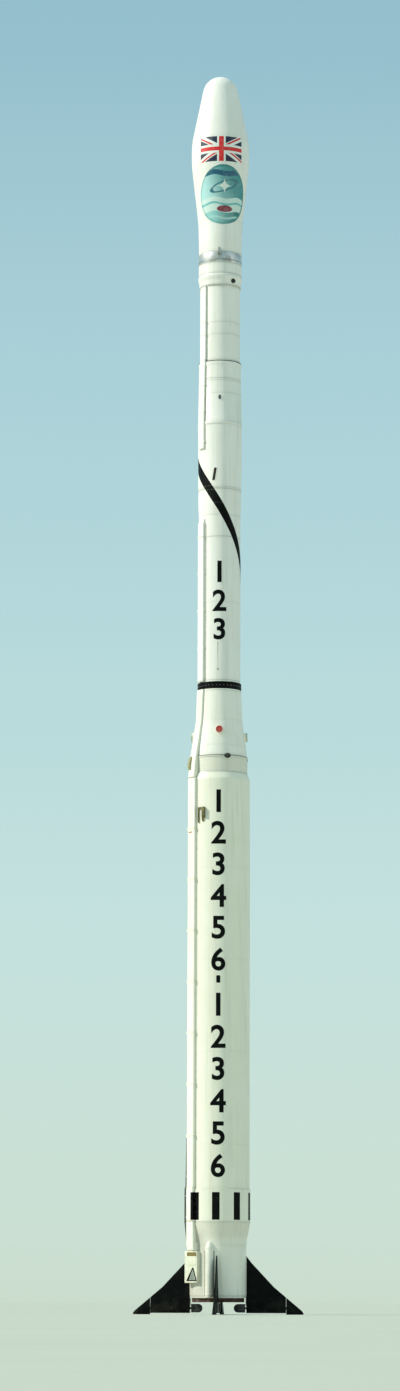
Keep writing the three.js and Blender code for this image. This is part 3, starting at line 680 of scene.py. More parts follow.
def black_paint(name):
    """Dull black enamel, a little chalky, with dust lying low and pale scuffs."""
    material, shade, place = start_finish(name)
    chalk = cloud(shade, place, 5.0, 5.0, 0.6).over(0.56, 0.34)
    scuffs = cloud(shade, place, 22.0, 4.0, 0.7, (1.0, 1.0, 0.35)).over(0.69, 0.06)
    low = 1.0 - place.along("Z").over(-0.12, 0.34)
    colour = (chalk * 0.55).tint(rgb(0.002, 0.0024, 0.002), rgb(0.010, 0.011, 0.009))
    colour = (low * chalk * 0.22).tint(colour, rgb(0.09, 0.085, 0.06))
    colour = (scuffs * 0.30).tint(colour, rgb(0.10, 0.10, 0.09))
    relief = cloud(shade, place, 45.0, 2.0)
    return end_finish(
        material, shade, colour, 0.42 + chalk * 0.22, relief, 0.0004,
        Specular_IOR_Level=0.07), "black_paint"


def side_rows(node, azimuth, spots):
    """Rivet places on both faces of a fin piece, at (distance out, height) spots."""
    across = radial(azimuth + 90)
    places = []
    for out, height in spots:
        for side in (-1, 1):
            start = radial(azimuth, out, height) + across * side
            place, outward = seated(node, start, -across * side)
            if place is not None:
                places.append((place, outward))
    return places


def run(first, last, pitch):
    """Spots at an even pitch on a line from one (distance out, height) to another."""
    first, last = Vector(first), Vector(last)
    count = max(1, round((last - first).length / pitch))
    return [tuple(first.lerp(last, i / count)) for i in range(count + 1)]


def boxed(low, high):
    """A box between two corners."""
    bm = bmesh.new()
    made = bmesh.ops.create_cube(bm, size=1.0)
    low, high = Vector(low), Vector(high)
    for vertex in made["verts"]:
        vertex.co = low + (vertex.co + Vector((0.5, 0.5, 0.5))) * (high - low)
    return bm


def swung(bm, azimuth):
    """Turns a shape about the rocket's axis."""
    bm.transform(Matrix.Rotation(math.radians(azimuth), 4, "Z"))
    return bm


BLACK = black_paint("black_paint")
FIN_SPOTS = (
    run((0.528, -0.24), (0.528, 0.66), 0.045) + run((0.75, -0.24), (0.75, 0.41), 0.05)
    + run((0.98, -0.24), (0.98, 0.17), 0.05) + run((0.575, -0.243), (1.19, -0.243), 0.05)
    + run((0.548, 0.63), (0.965, 0.19), 0.05) + run((0.99, 0.165), (1.18, 0.01), 0.05)
    + run((1.192, -0.22), (1.192, -0.04), 0.045))
TIP_SPOTS = (
    run((1.25, -0.262), (1.25, -0.07), 0.048) + run((1.30, -0.262), (1.48, -0.262), 0.045))
for quarter, azimuth in FIN_QUARTERS:
    fin, tip, vane = f"fin_{quarter}", f"fin_tip_{quarter}", f"jet_vane_{quarter}"
    control = f"control_{quarter}"
    build(f"{fin}_skin", eased(fin, FIN_EDGE), BLACK, fin)
    build(f"{tip}_skin", eased(tip, FIN_EDGE), BLACK, tip, control)
    build(f"{vane}_graphite", eased(vane, VANE_EDGE), GRAPHITE, vane, control)
    screws(f"{fin}_rivets", side_rows(fin, azimuth, FIN_SPOTS), BLACK, FIN_RIVET)
    screws(f"{tip}_rivets", side_rows(tip, azimuth, TIP_SPOTS), BLACK, FIN_RIVET, control)

root_step = math.degrees(ROOT_STRIP_OUT / BASE_RADIUS)
build("fin_root_strips",
      [plate(ROOT_STRIP_WIDE, ROOT_STRIP_TALL, azimuth + side * root_step, ROOT_STRIP_MIDDLE,
             BASE_OUTLINE, ROOT_STRIP_PROUD) for _, azimuth in FIN_QUARTERS for side in (-1, 1)],
      BASE_WHITE)
build("fin_root_posts",
      [swung(boxed(POST_LOW, POST_HIGH), azimuth + 180) for _, azimuth in FIN_QUARTERS],
      BASE_WHITE)

# First stage.
# One long motor case of rolled and welded steel, with a wider riveted skirt over its lower
# end. Both are sprayed white, and the black marks are painted on through stencils.
CASE_RADIUS = 0.562
CASE_BOTTOM, CASE_TOP = 1.1196, 9.457
CASE_SHOULDER, CASE_NECK = 9.330, 0.520
CASE_DOME = [(0.0, CASE_BOTTOM), (0.33, 1.16), (0.515, 1.29), (0.54, BASE_TOP)]
SKIRT_TOP = 1.930
SKIRT_EDGE, SKIRT_RIVET_ROWS = 0.002, (1.368, 1.900, 1.876)
WELDS = (2.72, 4.38, 6.04, 7.70)
CASE_OUTLINE = [
    (SKIRT_RADIUS, BASE_TOP), (SKIRT_RADIUS, SKIRT_TOP), (CASE_RADIUS, SKIRT_TOP + 0.001),
    (CASE_RADIUS, CASE_SHOULDER), (CASE_NECK, CASE_TOP)]
ON_TOP = 0.0003                      # gap between pieces that stand on each other
PATCH_WIDE, PATCH_TALL, PATCH_MIDDLE, PATCH_PROUD = 0.137, 0.489, 1.6215, 0.0009
PATCH_PITCH, PATCH_START, PATCHES = 40, -1.4, 8
NARROW_PATCH_WIDE, NARROW_PATCH_AZIMUTH = 0.098, -39.0
NUMERALS = "123456"
NUMERAL_TALL, NUMERAL_PITCH, NUMERAL_AZIMUTH, NUMERAL_PROUD = 0.415, 0.5755, 2.2, 0.0014
UPPER_NUMERAL, DOT_HEIGHT, LOWER_NUMERAL = 8.905, 5.67, 5.215
DOT_WIDE, DOT_TALL, DOT_CORNER = 0.072, 0.135, 0.016
PAINT_PROUD = 0.0008


def beaded(low, high, radius, beads, rise=0.0015, half=0.011):
    """A straight run of outline with low rounded beads at some heights."""
    points = [(radius, low)]
    for bead in beads:
        points += [
            (radius, bead - half * 1.3), (radius, bead - half), (radius + rise, bead - half * 0.4),
            (radius + rise, bead + half * 0.4), (radius, bead + half), (radius, bead + half * 1.3)]
    return points + [(radius, high)]


def figure(sign, tall, bold=0.022):
    """A figure, centred, as a flat shape, with its outline moved out to make it bold."""
    letter = bpy.data.objects.new("letter", bpy.data.curves.new("letter", "FONT"))
    letter.data.body = sign
    letter.data.fill_mode = "NONE"
    letter.data.resolution_u = 8
    bpy.context.collection.objects.link(letter)
    mesh = bpy.data.meshes.new_from_object(
        letter.evaluated_get(bpy.context.evaluated_depsgraph_get()))
    bpy.data.objects.remove(letter)
    bm = bmesh.new()
    bm.from_mesh(mesh)
    bmesh.ops.remove_doubles(bm, verts=bm.verts[:], dist=0.004)
    bmesh.ops.triangle_fill(bm, use_beauty=True, edges=bm.edges[:], normal=(0, 0, 1))
    outward = {}
    for edge in bm.edges:
        if edge.is_boundary:
            loop = edge.link_loops[0]
            along = (loop.link_loop_next.vert.co - loop.vert.co).normalized()
            for vertex in edge.verts:
                outward.setdefault(vertex, []).append(Vector((along.y, -along.x, 0)))
    for vertex, (first, second) in outward.items():
        vertex.co += (first + second) * bold / (1 + first.dot(second))
    low = Vector([min(vertex.co[i] for vertex in bm.verts) for i in range(3)])
    high = Vector([max(vertex.co[i] for vertex in bm.verts) for i in range(3)])
    for vertex in bm.verts:
        vertex.co = (vertex.co - (low + high) / 2) * tall / (high.y - low.y)
    return bm


CASE_WHITE = white_paint(
    "white_paint_first_stage",
    [(weld, 0.08) for weld in WELDS] + [(1.358, 0.20), (SKIRT_TOP, 0.30), (CASE_TOP - 0.006, 0.6)],
    warm=1.0)
case_profile = (
    CASE_DOME + [(CASE_RADIUS, BASE_TOP)]
    + beaded(BASE_TOP + 0.01, CASE_SHOULDER - 0.04, CASE_RADIUS, WELDS, 0.001)
    + softened([(CASE_RADIUS, CASE_SHOULDER - 0.04), (CASE_RADIUS, CASE_SHOULDER),
                (CASE_NECK, CASE_TOP)], 0.03)[1:]
    + [(0.0, CASE_TOP)])
build("first_stage_shell", turned(case_profile), CASE_WHITE, "first_stage_case")
skirt_profile = [
    (CASE_RADIUS + ON_TOP, BASE_TOP), (SKIRT_RADIUS - SKIRT_EDGE, BASE_TOP),
    (SKIRT_RADIUS, BASE_TOP + 0.003), (SKIRT_RADIUS, SKIRT_TOP - 0.005),
    (SKIRT_RADIUS - 2 * SKIRT_EDGE, SKIRT_TOP), (CASE_RADIUS + ON_TOP, SKIRT_TOP)]
build("first_stage_skirt_shell", turned(skirt_profile, closed=True), CASE_WHITE,
      "first_stage_skirt")
screws("skirt_rivets", rows(SKIRT_RADIUS, SKIRT_RIVET_ROWS, 90), CASE_WHITE, FIN_RIVET)
patches = [plate(PATCH_WIDE, PATCH_TALL, PATCH_START + PATCH_PITCH * i, PATCH_MIDDLE,
                 CASE_OUTLINE, PATCH_PROUD) for i in range(PATCHES)]
patches.append(plate(NARROW_PATCH_WIDE, PATCH_TALL, NARROW_PATCH_AZIMUTH, PATCH_MIDDLE,
                     CASE_OUTLINE, PATCH_PROUD))
build("skirt_patches", patches, BLACK)
figures = [laid_on(figure(sign, NUMERAL_TALL), NUMERAL_AZIMUTH, highest - NUMERAL_PITCH * i,
                   CASE_OUTLINE, NUMERAL_PROUD)
           for highest in (UPPER_NUMERAL, LOWER_NUMERAL) for i, sign in enumerate(NUMERALS)]
figures.append(plate(DOT_WIDE, DOT_TALL, NUMERAL_AZIMUTH, DOT_HEIGHT, CASE_OUTLINE, PAINT_PROUD,
                     DOT_CORNER))
build("first_stage_numerals", figures, BLACK)

# Wiring tunnel of the first stage.
# A pressed sheet cover over the wiring, in lengths that overlap under straps. Its feet are
# screwed down in pale sealant, and its lower end and the umbilical box stand on the base.
TUNNEL_AZIMUTH = -54.5
TUNNEL_WIDE, TUNNEL_OUT = 0.215, 0.622
TUNNEL_COVERS = (
    ("first_stage_tunnel", 0.046), ("tunnel_aft_fairing", 0.040), ("tunnel_top_fairing", 0.060))
FOOT, FOOT_PROUD = 0.024, 0.0025     # width and rise of the flange beside a tunnel
FOOT_LOW, FOOT_HIGH = 1.975, 9.32
SEAL_INSET, SEAL_WIDE, SEAL_PROUD = 0.002, 0.010, 0.0022
FOOT_SCREW = (0.0055, 0.004)
FOOT_SCREW_RUN = (0.017, 2.0, 9.3, 0.155)  # out from the tunnel's side, low, high and pitch
STRAPS, STRAP_LOW, STRAP_PITCH, STRAP_TALL = 7, 2.85, 0.925, 0.05
STRAP_WIDER, STRAP_IN, STRAP_OUT = 0.004, 0.003, 0.002
FACE_OUT, FACE_TURN = TUNNEL_OUT + 0.008, 0.048
MARKER_LOW, MARKER_HIGH = 8.345, 8.365


def bridge(azimuth, wide, inner, outer, low, high, steps=8):
    """A band bent over a tunnel, as wide as said at its inner radius. Its sides point inwards."""
    half = math.degrees(wide / 2 / inner)
    section = []
    for radius, order in ((outer, 1), (inner, -1)):
        turns = [half * (2 * i / steps - 1) for i in range(steps + 1)][::order]
        section += [radial(turn, radius) for turn in turns]
    bm = bmesh.new()
    rings = [[bm.verts.new((point.x, point.y, height)) for point in section]
             for height in (low, high)]
    count = len(section)
    for i in range(count):
        j = (i + 1) % count
        bm.faces.new((rings[0][i], rings[0][j], rings[1][j], rings[1][i]))
    bm.faces.new(rings[0])
    bm.faces.new(rings[1])
    return swung(bm, azimuth)


def straps(azimuth, wide, tall, spans):
    """Straps over a tunnel, at (inner radius, outer radius, height) spans."""
    return [bridge(azimuth, wide + STRAP_WIDER, inner + STRAP_IN, outer, at, at + tall)
            for inner, outer, at in spans]


def beside_tunnel(azimuth, wide, radius, out, low, high, pitch):
    """Screw places along both feet of a tunnel."""
    places = []
    count = max(1, round((high - low) / pitch))
    for side in (-1, 1):
        turn = azimuth + side * math.degrees(math.asin((wide / 2 + out) / radius))
        for i in range(count + 1):
            places.append(spot(turn, radius + FOOT_PROUD, low + (high - low) * i / count))
    return places


def feet(azimuth, wide, low, high, outline, foot=FOOT, proud=FOOT_PROUD):
    """The two flanges beside a tunnel, flat on the skin."""
    middle = (low + high) / 2
    aside = math.degrees(math.asin((wide + foot) / 2 / radius_at(outline, middle)))
    return [plate(foot, high - low, azimuth + side * aside, middle, outline, proud)
            for side in (-1, 1)]


def cut_away(bm, point, normal):
    """Cuts off what lies behind a plane, and closes the cut."""
    everything = bm.verts[:] + bm.edges[:] + bm.faces[:]
    bmesh.ops.bisect_plane(
        bm, geom=everything, dist=1e-6, plane_co=point, plane_no=normal, clear_inner=True)
    bmesh.ops.holes_fill(bm, edges=[edge for edge in bm.edges if edge.is_boundary])


def sealant(name, shaded_from):
    """Pale sealant in a joint, darker above a height with painted shade."""
    material, shade, place = start_finish(name)
    spots = cloud(shade, place, 9.0, 4.0, 0.6, (1.0, 1.0, 0.3))
    # Painted shade: the sealant goes darker above a height.
    painted_shade = place.along("Z").over(shaded_from, 1.2) * (0.55 + spots * 0.5)
    colour = spots.tint(rgb(0.76, 0.74, 0.62), rgb(0.64, 0.63, 0.52))
    colour = painted_shade.tint(colour, rgb(0.10, 0.11, 0.08))
    return end_finish(material, shade, colour, 0.7 + spots * 0.1, spots, 0.001), "insulation"


TUNNEL_WHITE = white_paint(
    "white_paint_tunnel", [(1.95 + STRAP_PITCH * i, 0.30) for i in range(9)], 1.3, 0.8)
# Above 8.5 m the sealant carries painted shade along the tunnel's edge.
TUNNEL_SEALANT = sealant("tunnel_sealant", 8.5)
for node, roundness in TUNNEL_COVERS:
    build(node + "_cover", eased(node, roundness, segments=8, outer=True), TUNNEL_WHITE, node)
build("tunnel_feet", feet(TUNNEL_AZIMUTH, TUNNEL_WIDE, FOOT_LOW, FOOT_HIGH, CASE_OUTLINE),
      TUNNEL_WHITE)
build("tunnel_seal", feet(
    TUNNEL_AZIMUTH, TUNNEL_WIDE + 2 * FOOT - SEAL_INSET, FOOT_LOW - 0.015, FOOT_HIGH + 0.005,
    CASE_OUTLINE, SEAL_WIDE, SEAL_PROUD), TUNNEL_SEALANT)
screws("tunnel_foot_screws",
       beside_tunnel(TUNNEL_AZIMUTH, TUNNEL_WIDE, CASE_RADIUS, *FOOT_SCREW_RUN),
       STEEL, FOOT_SCREW)
build("tunnel_straps", straps(
    TUNNEL_AZIMUTH, TUNNEL_WIDE, STRAP_TALL,
    [(CASE_RADIUS, TUNNEL_OUT + STRAP_OUT, STRAP_LOW + STRAP_PITCH * i)
     for i in range(STRAPS)]),
    TUNNEL_WHITE)

# The patch beside the tunnel goes on over the tunnel's side and face.
face_patch = bridge(
    TUNNEL_AZIMUTH, TUNNEL_WIDE + 0.002, SKIRT_RADIUS + STRAP_IN, FACE_OUT + 0.001,
    PATCH_MIDDLE - PATCH_TALL / 2, PATCH_MIDDLE + PATCH_TALL / 2, 24)
along_face = radial(TUNNEL_AZIMUTH + 90)
cut_away(face_patch, along_face * (TUNNEL_WIDE / 2 - FACE_TURN), along_face)
build("tunnel_patch", face_patch, BLACK)
RED_LEAD = mottled(
    "red_lead", "red_cover", (0.30, 0.07, 0.035), (0.40, 0.12, 0.06), 20.0, 0.6)
build("tunnel_marker",
      bridge(TUNNEL_AZIMUTH, TUNNEL_WIDE * 0.5, TUNNEL_OUT - 0.004, TUNNEL_OUT + 0.0012,
             MARKER_LOW, MARKER_HIGH), RED_LEAD)

# Umbilical box, conduit and brackets.
# A sheet box with a flat face, a framed triangular socket and a gold band. A thin steel pipe
# runs up beside it, and a cast bracket and a second socket sit near the tunnel's top.
FACE_RIGHT, FACE_LEFT = (-38.0, 0.575), (-66.4, 0.640)  # azimuth and radius of its edges
BAND_WIDE, BAND_TALL, BAND_CORNER, BAND_ASIDE, BAND_MIDDLE = 0.225, 0.066, 0.006, 0.022, 0.772
SOCKET_HEIGHT = 0.415
FRAME_CORNERS = ((-0.105, -0.115), (0.146, -0.115), (0.064, 0.120), (0.044, 0.120))
PLATE_CORNERS = ((-0.036, -0.098), (0.128, -0.098), (0.058, 0.085), (0.052, 0.085))
CONTACT_LOW = 0.345
CONTACTS = ((0.0, 0), (0.035, 0), (0.070, 0), (0.018, 0.035), (0.053, 0.035), (0.040, 0.07))
CONTACT_PROFILE = (
    (0.0, 0.008), (0.010, 0.008), (0.010, 0.020), (0.006, 0.020), (0.005, 0.014), (0.0, 0.014))
LID_WIDE, LID_TALL, LID_CORNER, LID_MIDDLE = 0.25, 0.17, 0.02, 0.655
LID_THICK, BAND_THICK, FRAME_THICK, PLATE_THICK = 0.004, 0.006, 0.007, 0.012
BOX_SCREW = (0.006, 0.004)
CLIP_AZIMUTH, CLIP_WIDE, CLIP_TALL = -92, 0.060, 0.03
CLIPS = (                            # inner and outer radius, and height
    (SKIRT_RADIUS, 0.6145, 1.42), (SKIRT_RADIUS, 0.6145, 1.80), (CASE_RADIUS, 0.596, 2.15),
    (CASE_RADIUS, 0.592, 2.45), (CASE_RADIUS, 0.588, 2.75))
BRACKET_BOLT = (0.007, 0.006)
BRACKET_BOLTS = (                    # azimuth, radius and height
    (-37.6, 0.590, 8.555), (-37.6, 0.590, 8.66), (-37.6, 0.590, 8.785), (-34.0, 0.586, 8.782),
    (-30.2, 0.586, 8.782), (-25.8, 0.620, 8.78), (-25.8, 0.620, 8.66))


def aimed(bm, azimuth, height, middle=Vector((0, 0, 0))):
    """Points a shape made along Z straight out: its x runs to the right, and its y up."""
    across, up, out = radial(azimuth + 90), Vector((0, 0, 1)), radial(azimuth)
    bm.transform(Matrix((
        (across.x, up.x, out.x, middle.x), (across.y, up.y, out.y, middle.y),
        (across.z, up.z, out.z, height), (0, 0, 0, 1))))
    return bm


face_right, face_left = radial(*FACE_RIGHT), radial(*FACE_LEFT)
face_middle = (face_right + face_left) / 2
face_across = (face_right - face_left).normalized()
FACE_AZIMUTH = math.degrees(math.atan2(face_across.y, face_across.x))


def on_face(points, height, thick):
    """A plate on the box's flat face."""
    bm = flat(points)
    made = bmesh.ops.extrude_face_region(bm, geom=bm.faces[:])
    risen = [part for part in made["geom"] if isinstance(part, bmesh.types.BMVert)]
    bmesh.ops.translate(bm, vec=(0, 0, thick), verts=risen)
    return aimed(bm, FACE_AZIMUTH, height, face_middle)


BOX_BEIGE = mottled(
    "warm_white_box", "white_paint", (0.66, 0.64, 0.48), (0.78, 0.76, 0.62), 7.0, 0.5, 0.0005)
GOLD = mottled(
    "gold_chromate", "steel", (0.15, 0.105, 0.016), (0.25, 0.185, 0.036), 24.0, 0.45, 0.0006, 0.2)
SOCKET_GREY = mottled(
    "socket_grey", "steel", (0.24, 0.27, 0.22), (0.34, 0.38, 0.31), 24.0, 0.55, 0.0006, 0.1)
build("umbilical_box_cover", eased("umbilical_box", 0.008, segments=3), BOX_BEIGE,
      "umbilical_box")
band_points = [(x + BAND_ASIDE, y) for x, y in rounded(BAND_WIDE, BAND_TALL, BAND_CORNER)]
build("umbilical_box_band", on_face(band_points, BAND_MIDDLE, BAND_THICK), GOLD)
build("umbilical_frame", on_face(FRAME_CORNERS, SOCKET_HEIGHT, FRAME_THICK), BLACK)
build("umbilical_plate", on_face(PLATE_CORNERS, SOCKET_HEIGHT, PLATE_THICK), SOCKET_GREY)
build("umbilical_contacts",
      [aimed(turned(CONTACT_PROFILE, 16), FACE_AZIMUTH, CONTACT_LOW + rise,
             face_middle + face_across * aside) for aside, rise in CONTACTS], STEEL)
build("umbilical_lid",
      on_face(rounded(LID_WIDE, LID_TALL, LID_CORNER), LID_MIDDLE, LID_THICK), BOX_BEIGE)
box_screws = [
    (face_middle + face_across * aside + Vector((0, 0, height)), radial(FACE_AZIMUTH))
    for aside in (-0.138, 0.138) for height in (0.285, 0.36, 0.45, 0.54, 0.63, 0.72)]
box_screws += [
    (face_middle + face_across * aside + radial(FACE_AZIMUTH, LID_THICK, height),
     radial(FACE_AZIMUTH)) for aside in (-0.11, -0.037, 0.037, 0.11) for height in (0.585, 0.725)]
screws("umbilical_box_screws", box_screws, STEEL, BOX_SCREW)

DARK_STEEL = metal("weathered_steel", (0.13, 0.135, 0.13), 0.6)
build("aft_conduit_pipe", eased("aft_conduit", 0.006), DARK_STEEL, "aft_conduit")
build("conduit_clips",
      [bridge(CLIP_AZIMUTH, CLIP_WIDE, inner, outer, height, height + CLIP_TALL, 3)
       for inner, outer, height in CLIPS], STEEL)
PRIMER = mottled(
    "olive_primer", "primer", (0.080, 0.068, 0.014), (0.21, 0.170, 0.045), 22.0, 0.5, 0.0008, 0.2)
PALE_PRIMER = mottled(
    "pale_primer", "primer", (0.30, 0.27, 0.13), (0.50, 0.46, 0.26), 22.0, 0.5, 0.0008, 0.1)
build("handling_bracket_body", eased("handling_bracket", 0.0015, clamped=False), PRIMER,
      "handling_bracket")
build("umbilical_socket_body", eased("umbilical_socket", 0.003), PALE_PRIMER, "umbilical_socket")
screws("bracket_bolts", [spot(*bolt) for bolt in BRACKET_BOLTS], STEEL, BRACKET_BOLT)

# Actuator covers.
# Half-round pressed covers over the lines that steer the fins, beside the front and the
# back fin. They are closed at the top by a rounded end and strapped to the base.
COVER_AZIMUTHS = (("front", -15), ("back", 165))
COVER_RADIUS = 0.078
HOOP_LOWS, HOOP_TALL = (0.05, 0.34, 0.63, 0.86), 0.026
HOOP_OUT, HOOP_IN, HOOP_SIDES = 0.0015, 0.004, 40
JOINT_WIDE, JOINT_TALL = 0.014, 0.80  # of the sealant beside a cover
LIP_WIDE, LIP_TALL = 0.024, 0.83     # of the lip beside that
LIP_LOW, LIP_PROUD = 0.03, 0.0022
COVER_SCREWS, COVER_SCREW_LOW, COVER_SCREW_PITCH = 9, 0.06, 0.095
COVER_SCREW = (0.005, 0.003)
joint_turn, lip_turn = (math.degrees(math.asin((COVER_RADIUS + out) / BASE_RADIUS))
                        for out in (JOINT_WIDE / 2, JOINT_WIDE + LIP_WIDE / 2))
for quarter, azimuth in COVER_AZIMUTHS:
    node = "actuator_cover_" + quarter
    build(node + "_shell", eased(node, 0.004), BASE_WHITE, node)
    hoops = []
    for low in HOOP_LOWS:
        hoop = turned([
            (COVER_RADIUS + HOOP_OUT, low), (COVER_RADIUS + HOOP_OUT, low + HOOP_TALL),
            (COVER_RADIUS - HOOP_IN, low + HOOP_TALL), (COVER_RADIUS - HOOP_IN, low)],
            HOOP_SIDES, closed=True)
        hoop.transform(Matrix.Translation((0, -BASE_RADIUS, 0)))
        cut_away(hoop, (0, -BASE_RADIUS + 0.002, 0), (0, -1, 0))
        hoops.append(swung(hoop, azimuth))
    build(node + "_hoops", hoops, BASE_WHITE)
    for part, wide, tall, turn, finish in (
            ("_lips", LIP_WIDE, LIP_TALL, lip_turn, BASE_WHITE),
            ("_seam", JOINT_WIDE, JOINT_TALL, joint_turn, DARK_SEALANT)):
        build(node + part,
              [plate(wide, tall, azimuth + side * turn, LIP_LOW + tall / 2, BASE_OUTLINE,
                     LIP_PROUD) for side in (-1, 1)], finish)
    lip_screws = [spot(azimuth + side * lip_turn, BASE_RADIUS + LIP_PROUD,
                       COVER_SCREW_LOW + COVER_SCREW_PITCH * i)
                  for side in (-1, 1) for i in range(COVER_SCREWS)]
    screws(node + "_screws", lip_screws, STEEL, COVER_SCREW)

# Lower transition.
# A short skirt and a cone of riveted sheet over the first stage's head. Four thrusters stand
# out of the cone under red and pale green plastic lids, and four jets out of the skirt.
FORWARD_RADIUS, FORWARD_TOP = 0.515, 9.750
FORWARD_LOW, FORWARD_BEAD, FORWARD_SEAM = CASE_TOP + ON_TOP, 9.60, 9.722
CLAMP_RADIUS, CLAMP_LOW, CLAMP_MIDDLE, CLAMP_ROUND = 0.522, 9.730, 9.740, 0.0005
CLAMP_BOLT, CLAMP_BOLT_TURN, CLAMP_BOLT_STEP = (0.009, 0.008), 10, 4
CLAMP_SEAL_LOW, CLAMP_SEAL_OUTER_TOP, CLAMP_SEAL_INNER_TOP = 9.7495, 9.7585, 9.7600
CONE_LOW, CONE_TOP = FORWARD_TOP + ON_TOP, 11.000
CONE_OUTLINE = [(0.512, CONE_LOW), (0.492, 9.950), (0.424, 10.430), (0.398, CONE_TOP)]
CONE_SOFT = 0.09
FINE_RIVET = (0.005, 0.002)
FORWARD_RIVET_ROWS, CONE_FOOT_ROW, CONE_TOP_ROWS = (9.49, 9.515), 9.79, (10.975, 10.945)
TRANSITION_DOORS = (                 # azimuth, height, width and tallness
    (138, 10.18, 0.20, 0.26), (228, 10.18, 0.20, 0.26), (112, 10.72, 0.13, 0.20),
    (186, 10.72, 0.13, 0.20), (262, 10.72, 0.13, 0.20))
THRUSTER_TURN = 3                    # degrees past the fin below
THRUSTER_ROOT, THRUSTER_FACE, THRUSTER_EDGE = 0.40, 0.500, 0.006
THRUSTER_SIDES = 40
LID_TOP, LID_FLOOR = 0.014, 0.007    # how far its rim and its sunk face stand out
LID_SCREWS, LID_SCREW, LID_SCREW_INSET, LID_SCREW_PROUD = 6, (0.004, 0.0025), 0.008, 0.0005
SKIRT_JET_TURN, SKIRT_JET_HEIGHT = 20, 9.745
SKIRT_JET = (0.044, 0.534, 0.036, 0.44, 1.35)  # radius, face, bore, root and stretch
JET_SIDES = 32


def thruster_lid(radius, face):
    """A round lid with a raised rim, and a raised boss in its middle."""
    top = face + LID_TOP
    return capped([
        (radius - 0.002, face), (radius, face + 0.003), (radius, top - 0.004),
        (radius - 0.004, top), (radius - 0.011, top), (radius - 0.016, face + LID_FLOOR),
        (0.022, face + LID_FLOOR), (0.018, top - 0.003), (0.013, top)], THRUSTER_SIDES)


def jet_ring(azimuth, height, radius, face, bore, root, stretch):
    """A short jet that points outwards, with a rounded rim and a cap in its bore."""
    jet = turned([
        (0.0, root), (radius, root), (radius, face - 0.004), (radius - 0.004, face),
        (bore + 0.003, face), (bore, face - 0.003), (bore * 0.9, face - 0.0075),
        (0.0, face - 0.0078)], JET_SIDES)
    jet.transform(Matrix.Diagonal((stretch, 1, 1, 1)))
    return aimed(jet, azimuth, height)


LOWER_WHITE = white_paint(
    "white_paint_lower_transition",
    ((CASE_TOP + 0.012, 0.4), (FORWARD_SEAM, 0.25), (9.758, 0.7), (9.955, 0.15), (10.43, 0.12),
     (10.972, 0.4)), warm=0.4, primer_and_shade_bands=((FORWARD_BEAD, 0.13, 0.35),))
forward_profile = (
    [(FORWARD_RADIUS, FORWARD_LOW)]
    + beaded(CASE_TOP + 0.002, FORWARD_SEAM, FORWARD_RADIUS, (FORWARD_BEAD,))
    + [(CLAMP_RADIUS, CLAMP_LOW), (CLAMP_RADIUS + CLAMP_ROUND, CLAMP_MIDDLE),
       (CLAMP_RADIUS, FORWARD_TOP)])
build("forward_skirt_shell", capped(forward_profile), LOWER_WHITE, "forward_skirt")
build("transition_cone_shell", capped(softened(CONE_OUTLINE, CONE_SOFT, 8)), LOWER_WHITE,
      "transition_cone")
screws("lower_transition_rivets",
       rows(FORWARD_RADIUS, FORWARD_RIVET_ROWS, 80) + rows(CONE_OUTLINE, (CONE_FOOT_ROW,), 80)
       + rows(CONE_OUTLINE, CONE_TOP_ROWS, 64), LOWER_WHITE, FINE_RIVET)
doors("transition_door", TRANSITION_DOORS, CONE_OUTLINE, LOWER_WHITE)

RED = mottled(
    "red_plastic", "red_cover", (0.58, 0.022, 0.014), (0.70, 0.045, 0.026), 9.0, 0.5, 0.0004)
PALE_GREEN = mottled(
    "pale_green_plastic", "primer", (0.34, 0.40, 0.28), (0.44, 0.50, 0.37), 9.0, 0.5, 0.0004)
THRUSTERS = ((10.230, 0.064, RED), (10.145, 0.084, PALE_GREEN)) * 2  # height, radius and lid
housings, lid_screws = [], []
for (quarter, azimuth), (height, radius, finish) in zip(FIN_QUARTERS, THRUSTERS):
    turn = azimuth + THRUSTER_TURN
    housings.append(aimed(capped([
        (radius, THRUSTER_ROOT), (radius, THRUSTER_FACE - THRUSTER_EDGE),
        (radius - THRUSTER_EDGE, THRUSTER_FACE)], THRUSTER_SIDES), turn, height))
    lid = aimed(thruster_lid(radius, THRUSTER_FACE + ON_TOP), turn, height)
    build("thruster_lid_" + quarter, lid, finish, "thruster_cover_" + quarter)
    out, across = radial(turn), radial(turn + 90)
    for i in range(LID_SCREWS):
        angle = math.radians(60 * i + 30)
        reach = radius - LID_SCREW_INSET
        place = out * (THRUSTER_FACE + LID_TOP + LID_SCREW_PROUD)
        place += across * (reach * math.cos(angle))
        place.z = height + reach * math.sin(angle)
        lid_screws.append((place, out))
build("thruster_housings", housings, LOWER_WHITE)
screws("thruster_lid_screws", lid_screws, STEEL, LID_SCREW)

BURNT = mottled(
    "burnt_steel", "steel", (0.006, 0.007, 0.005), (0.022, 0.024, 0.016), 24.0, 0.75, 0.0006)
build("skirt_jets",
      [jet_ring(azimuth + SKIRT_JET_TURN, SKIRT_JET_HEIGHT, *SKIRT_JET)
       for _, azimuth in FIN_QUARTERS], BURNT)
clamp_seal = [
    (CLAMP_RADIUS - 0.004, CLAMP_SEAL_LOW), (CLAMP_RADIUS + CLAMP_ROUND, CLAMP_SEAL_LOW),
    (CLAMP_RADIUS + CLAMP_ROUND, CLAMP_SEAL_OUTER_TOP),
    (CLAMP_RADIUS - 0.010, CLAMP_SEAL_INNER_TOP)]
build("clamp_seal", turned(clamp_seal, closed=True), BURNT)
clamp_bolts = []
for _, azimuth in FIN_QUARTERS:
    turn = azimuth + CLAMP_BOLT_TURN
    clamp_bolts += rows(
        CLAMP_RADIUS, (CLAMP_MIDDLE,), 3, turn - CLAMP_BOLT_STEP, turn + CLAMP_BOLT_STEP)
screws("clamp_bolts", clamp_bolts, STEEL, CLAMP_BOLT)

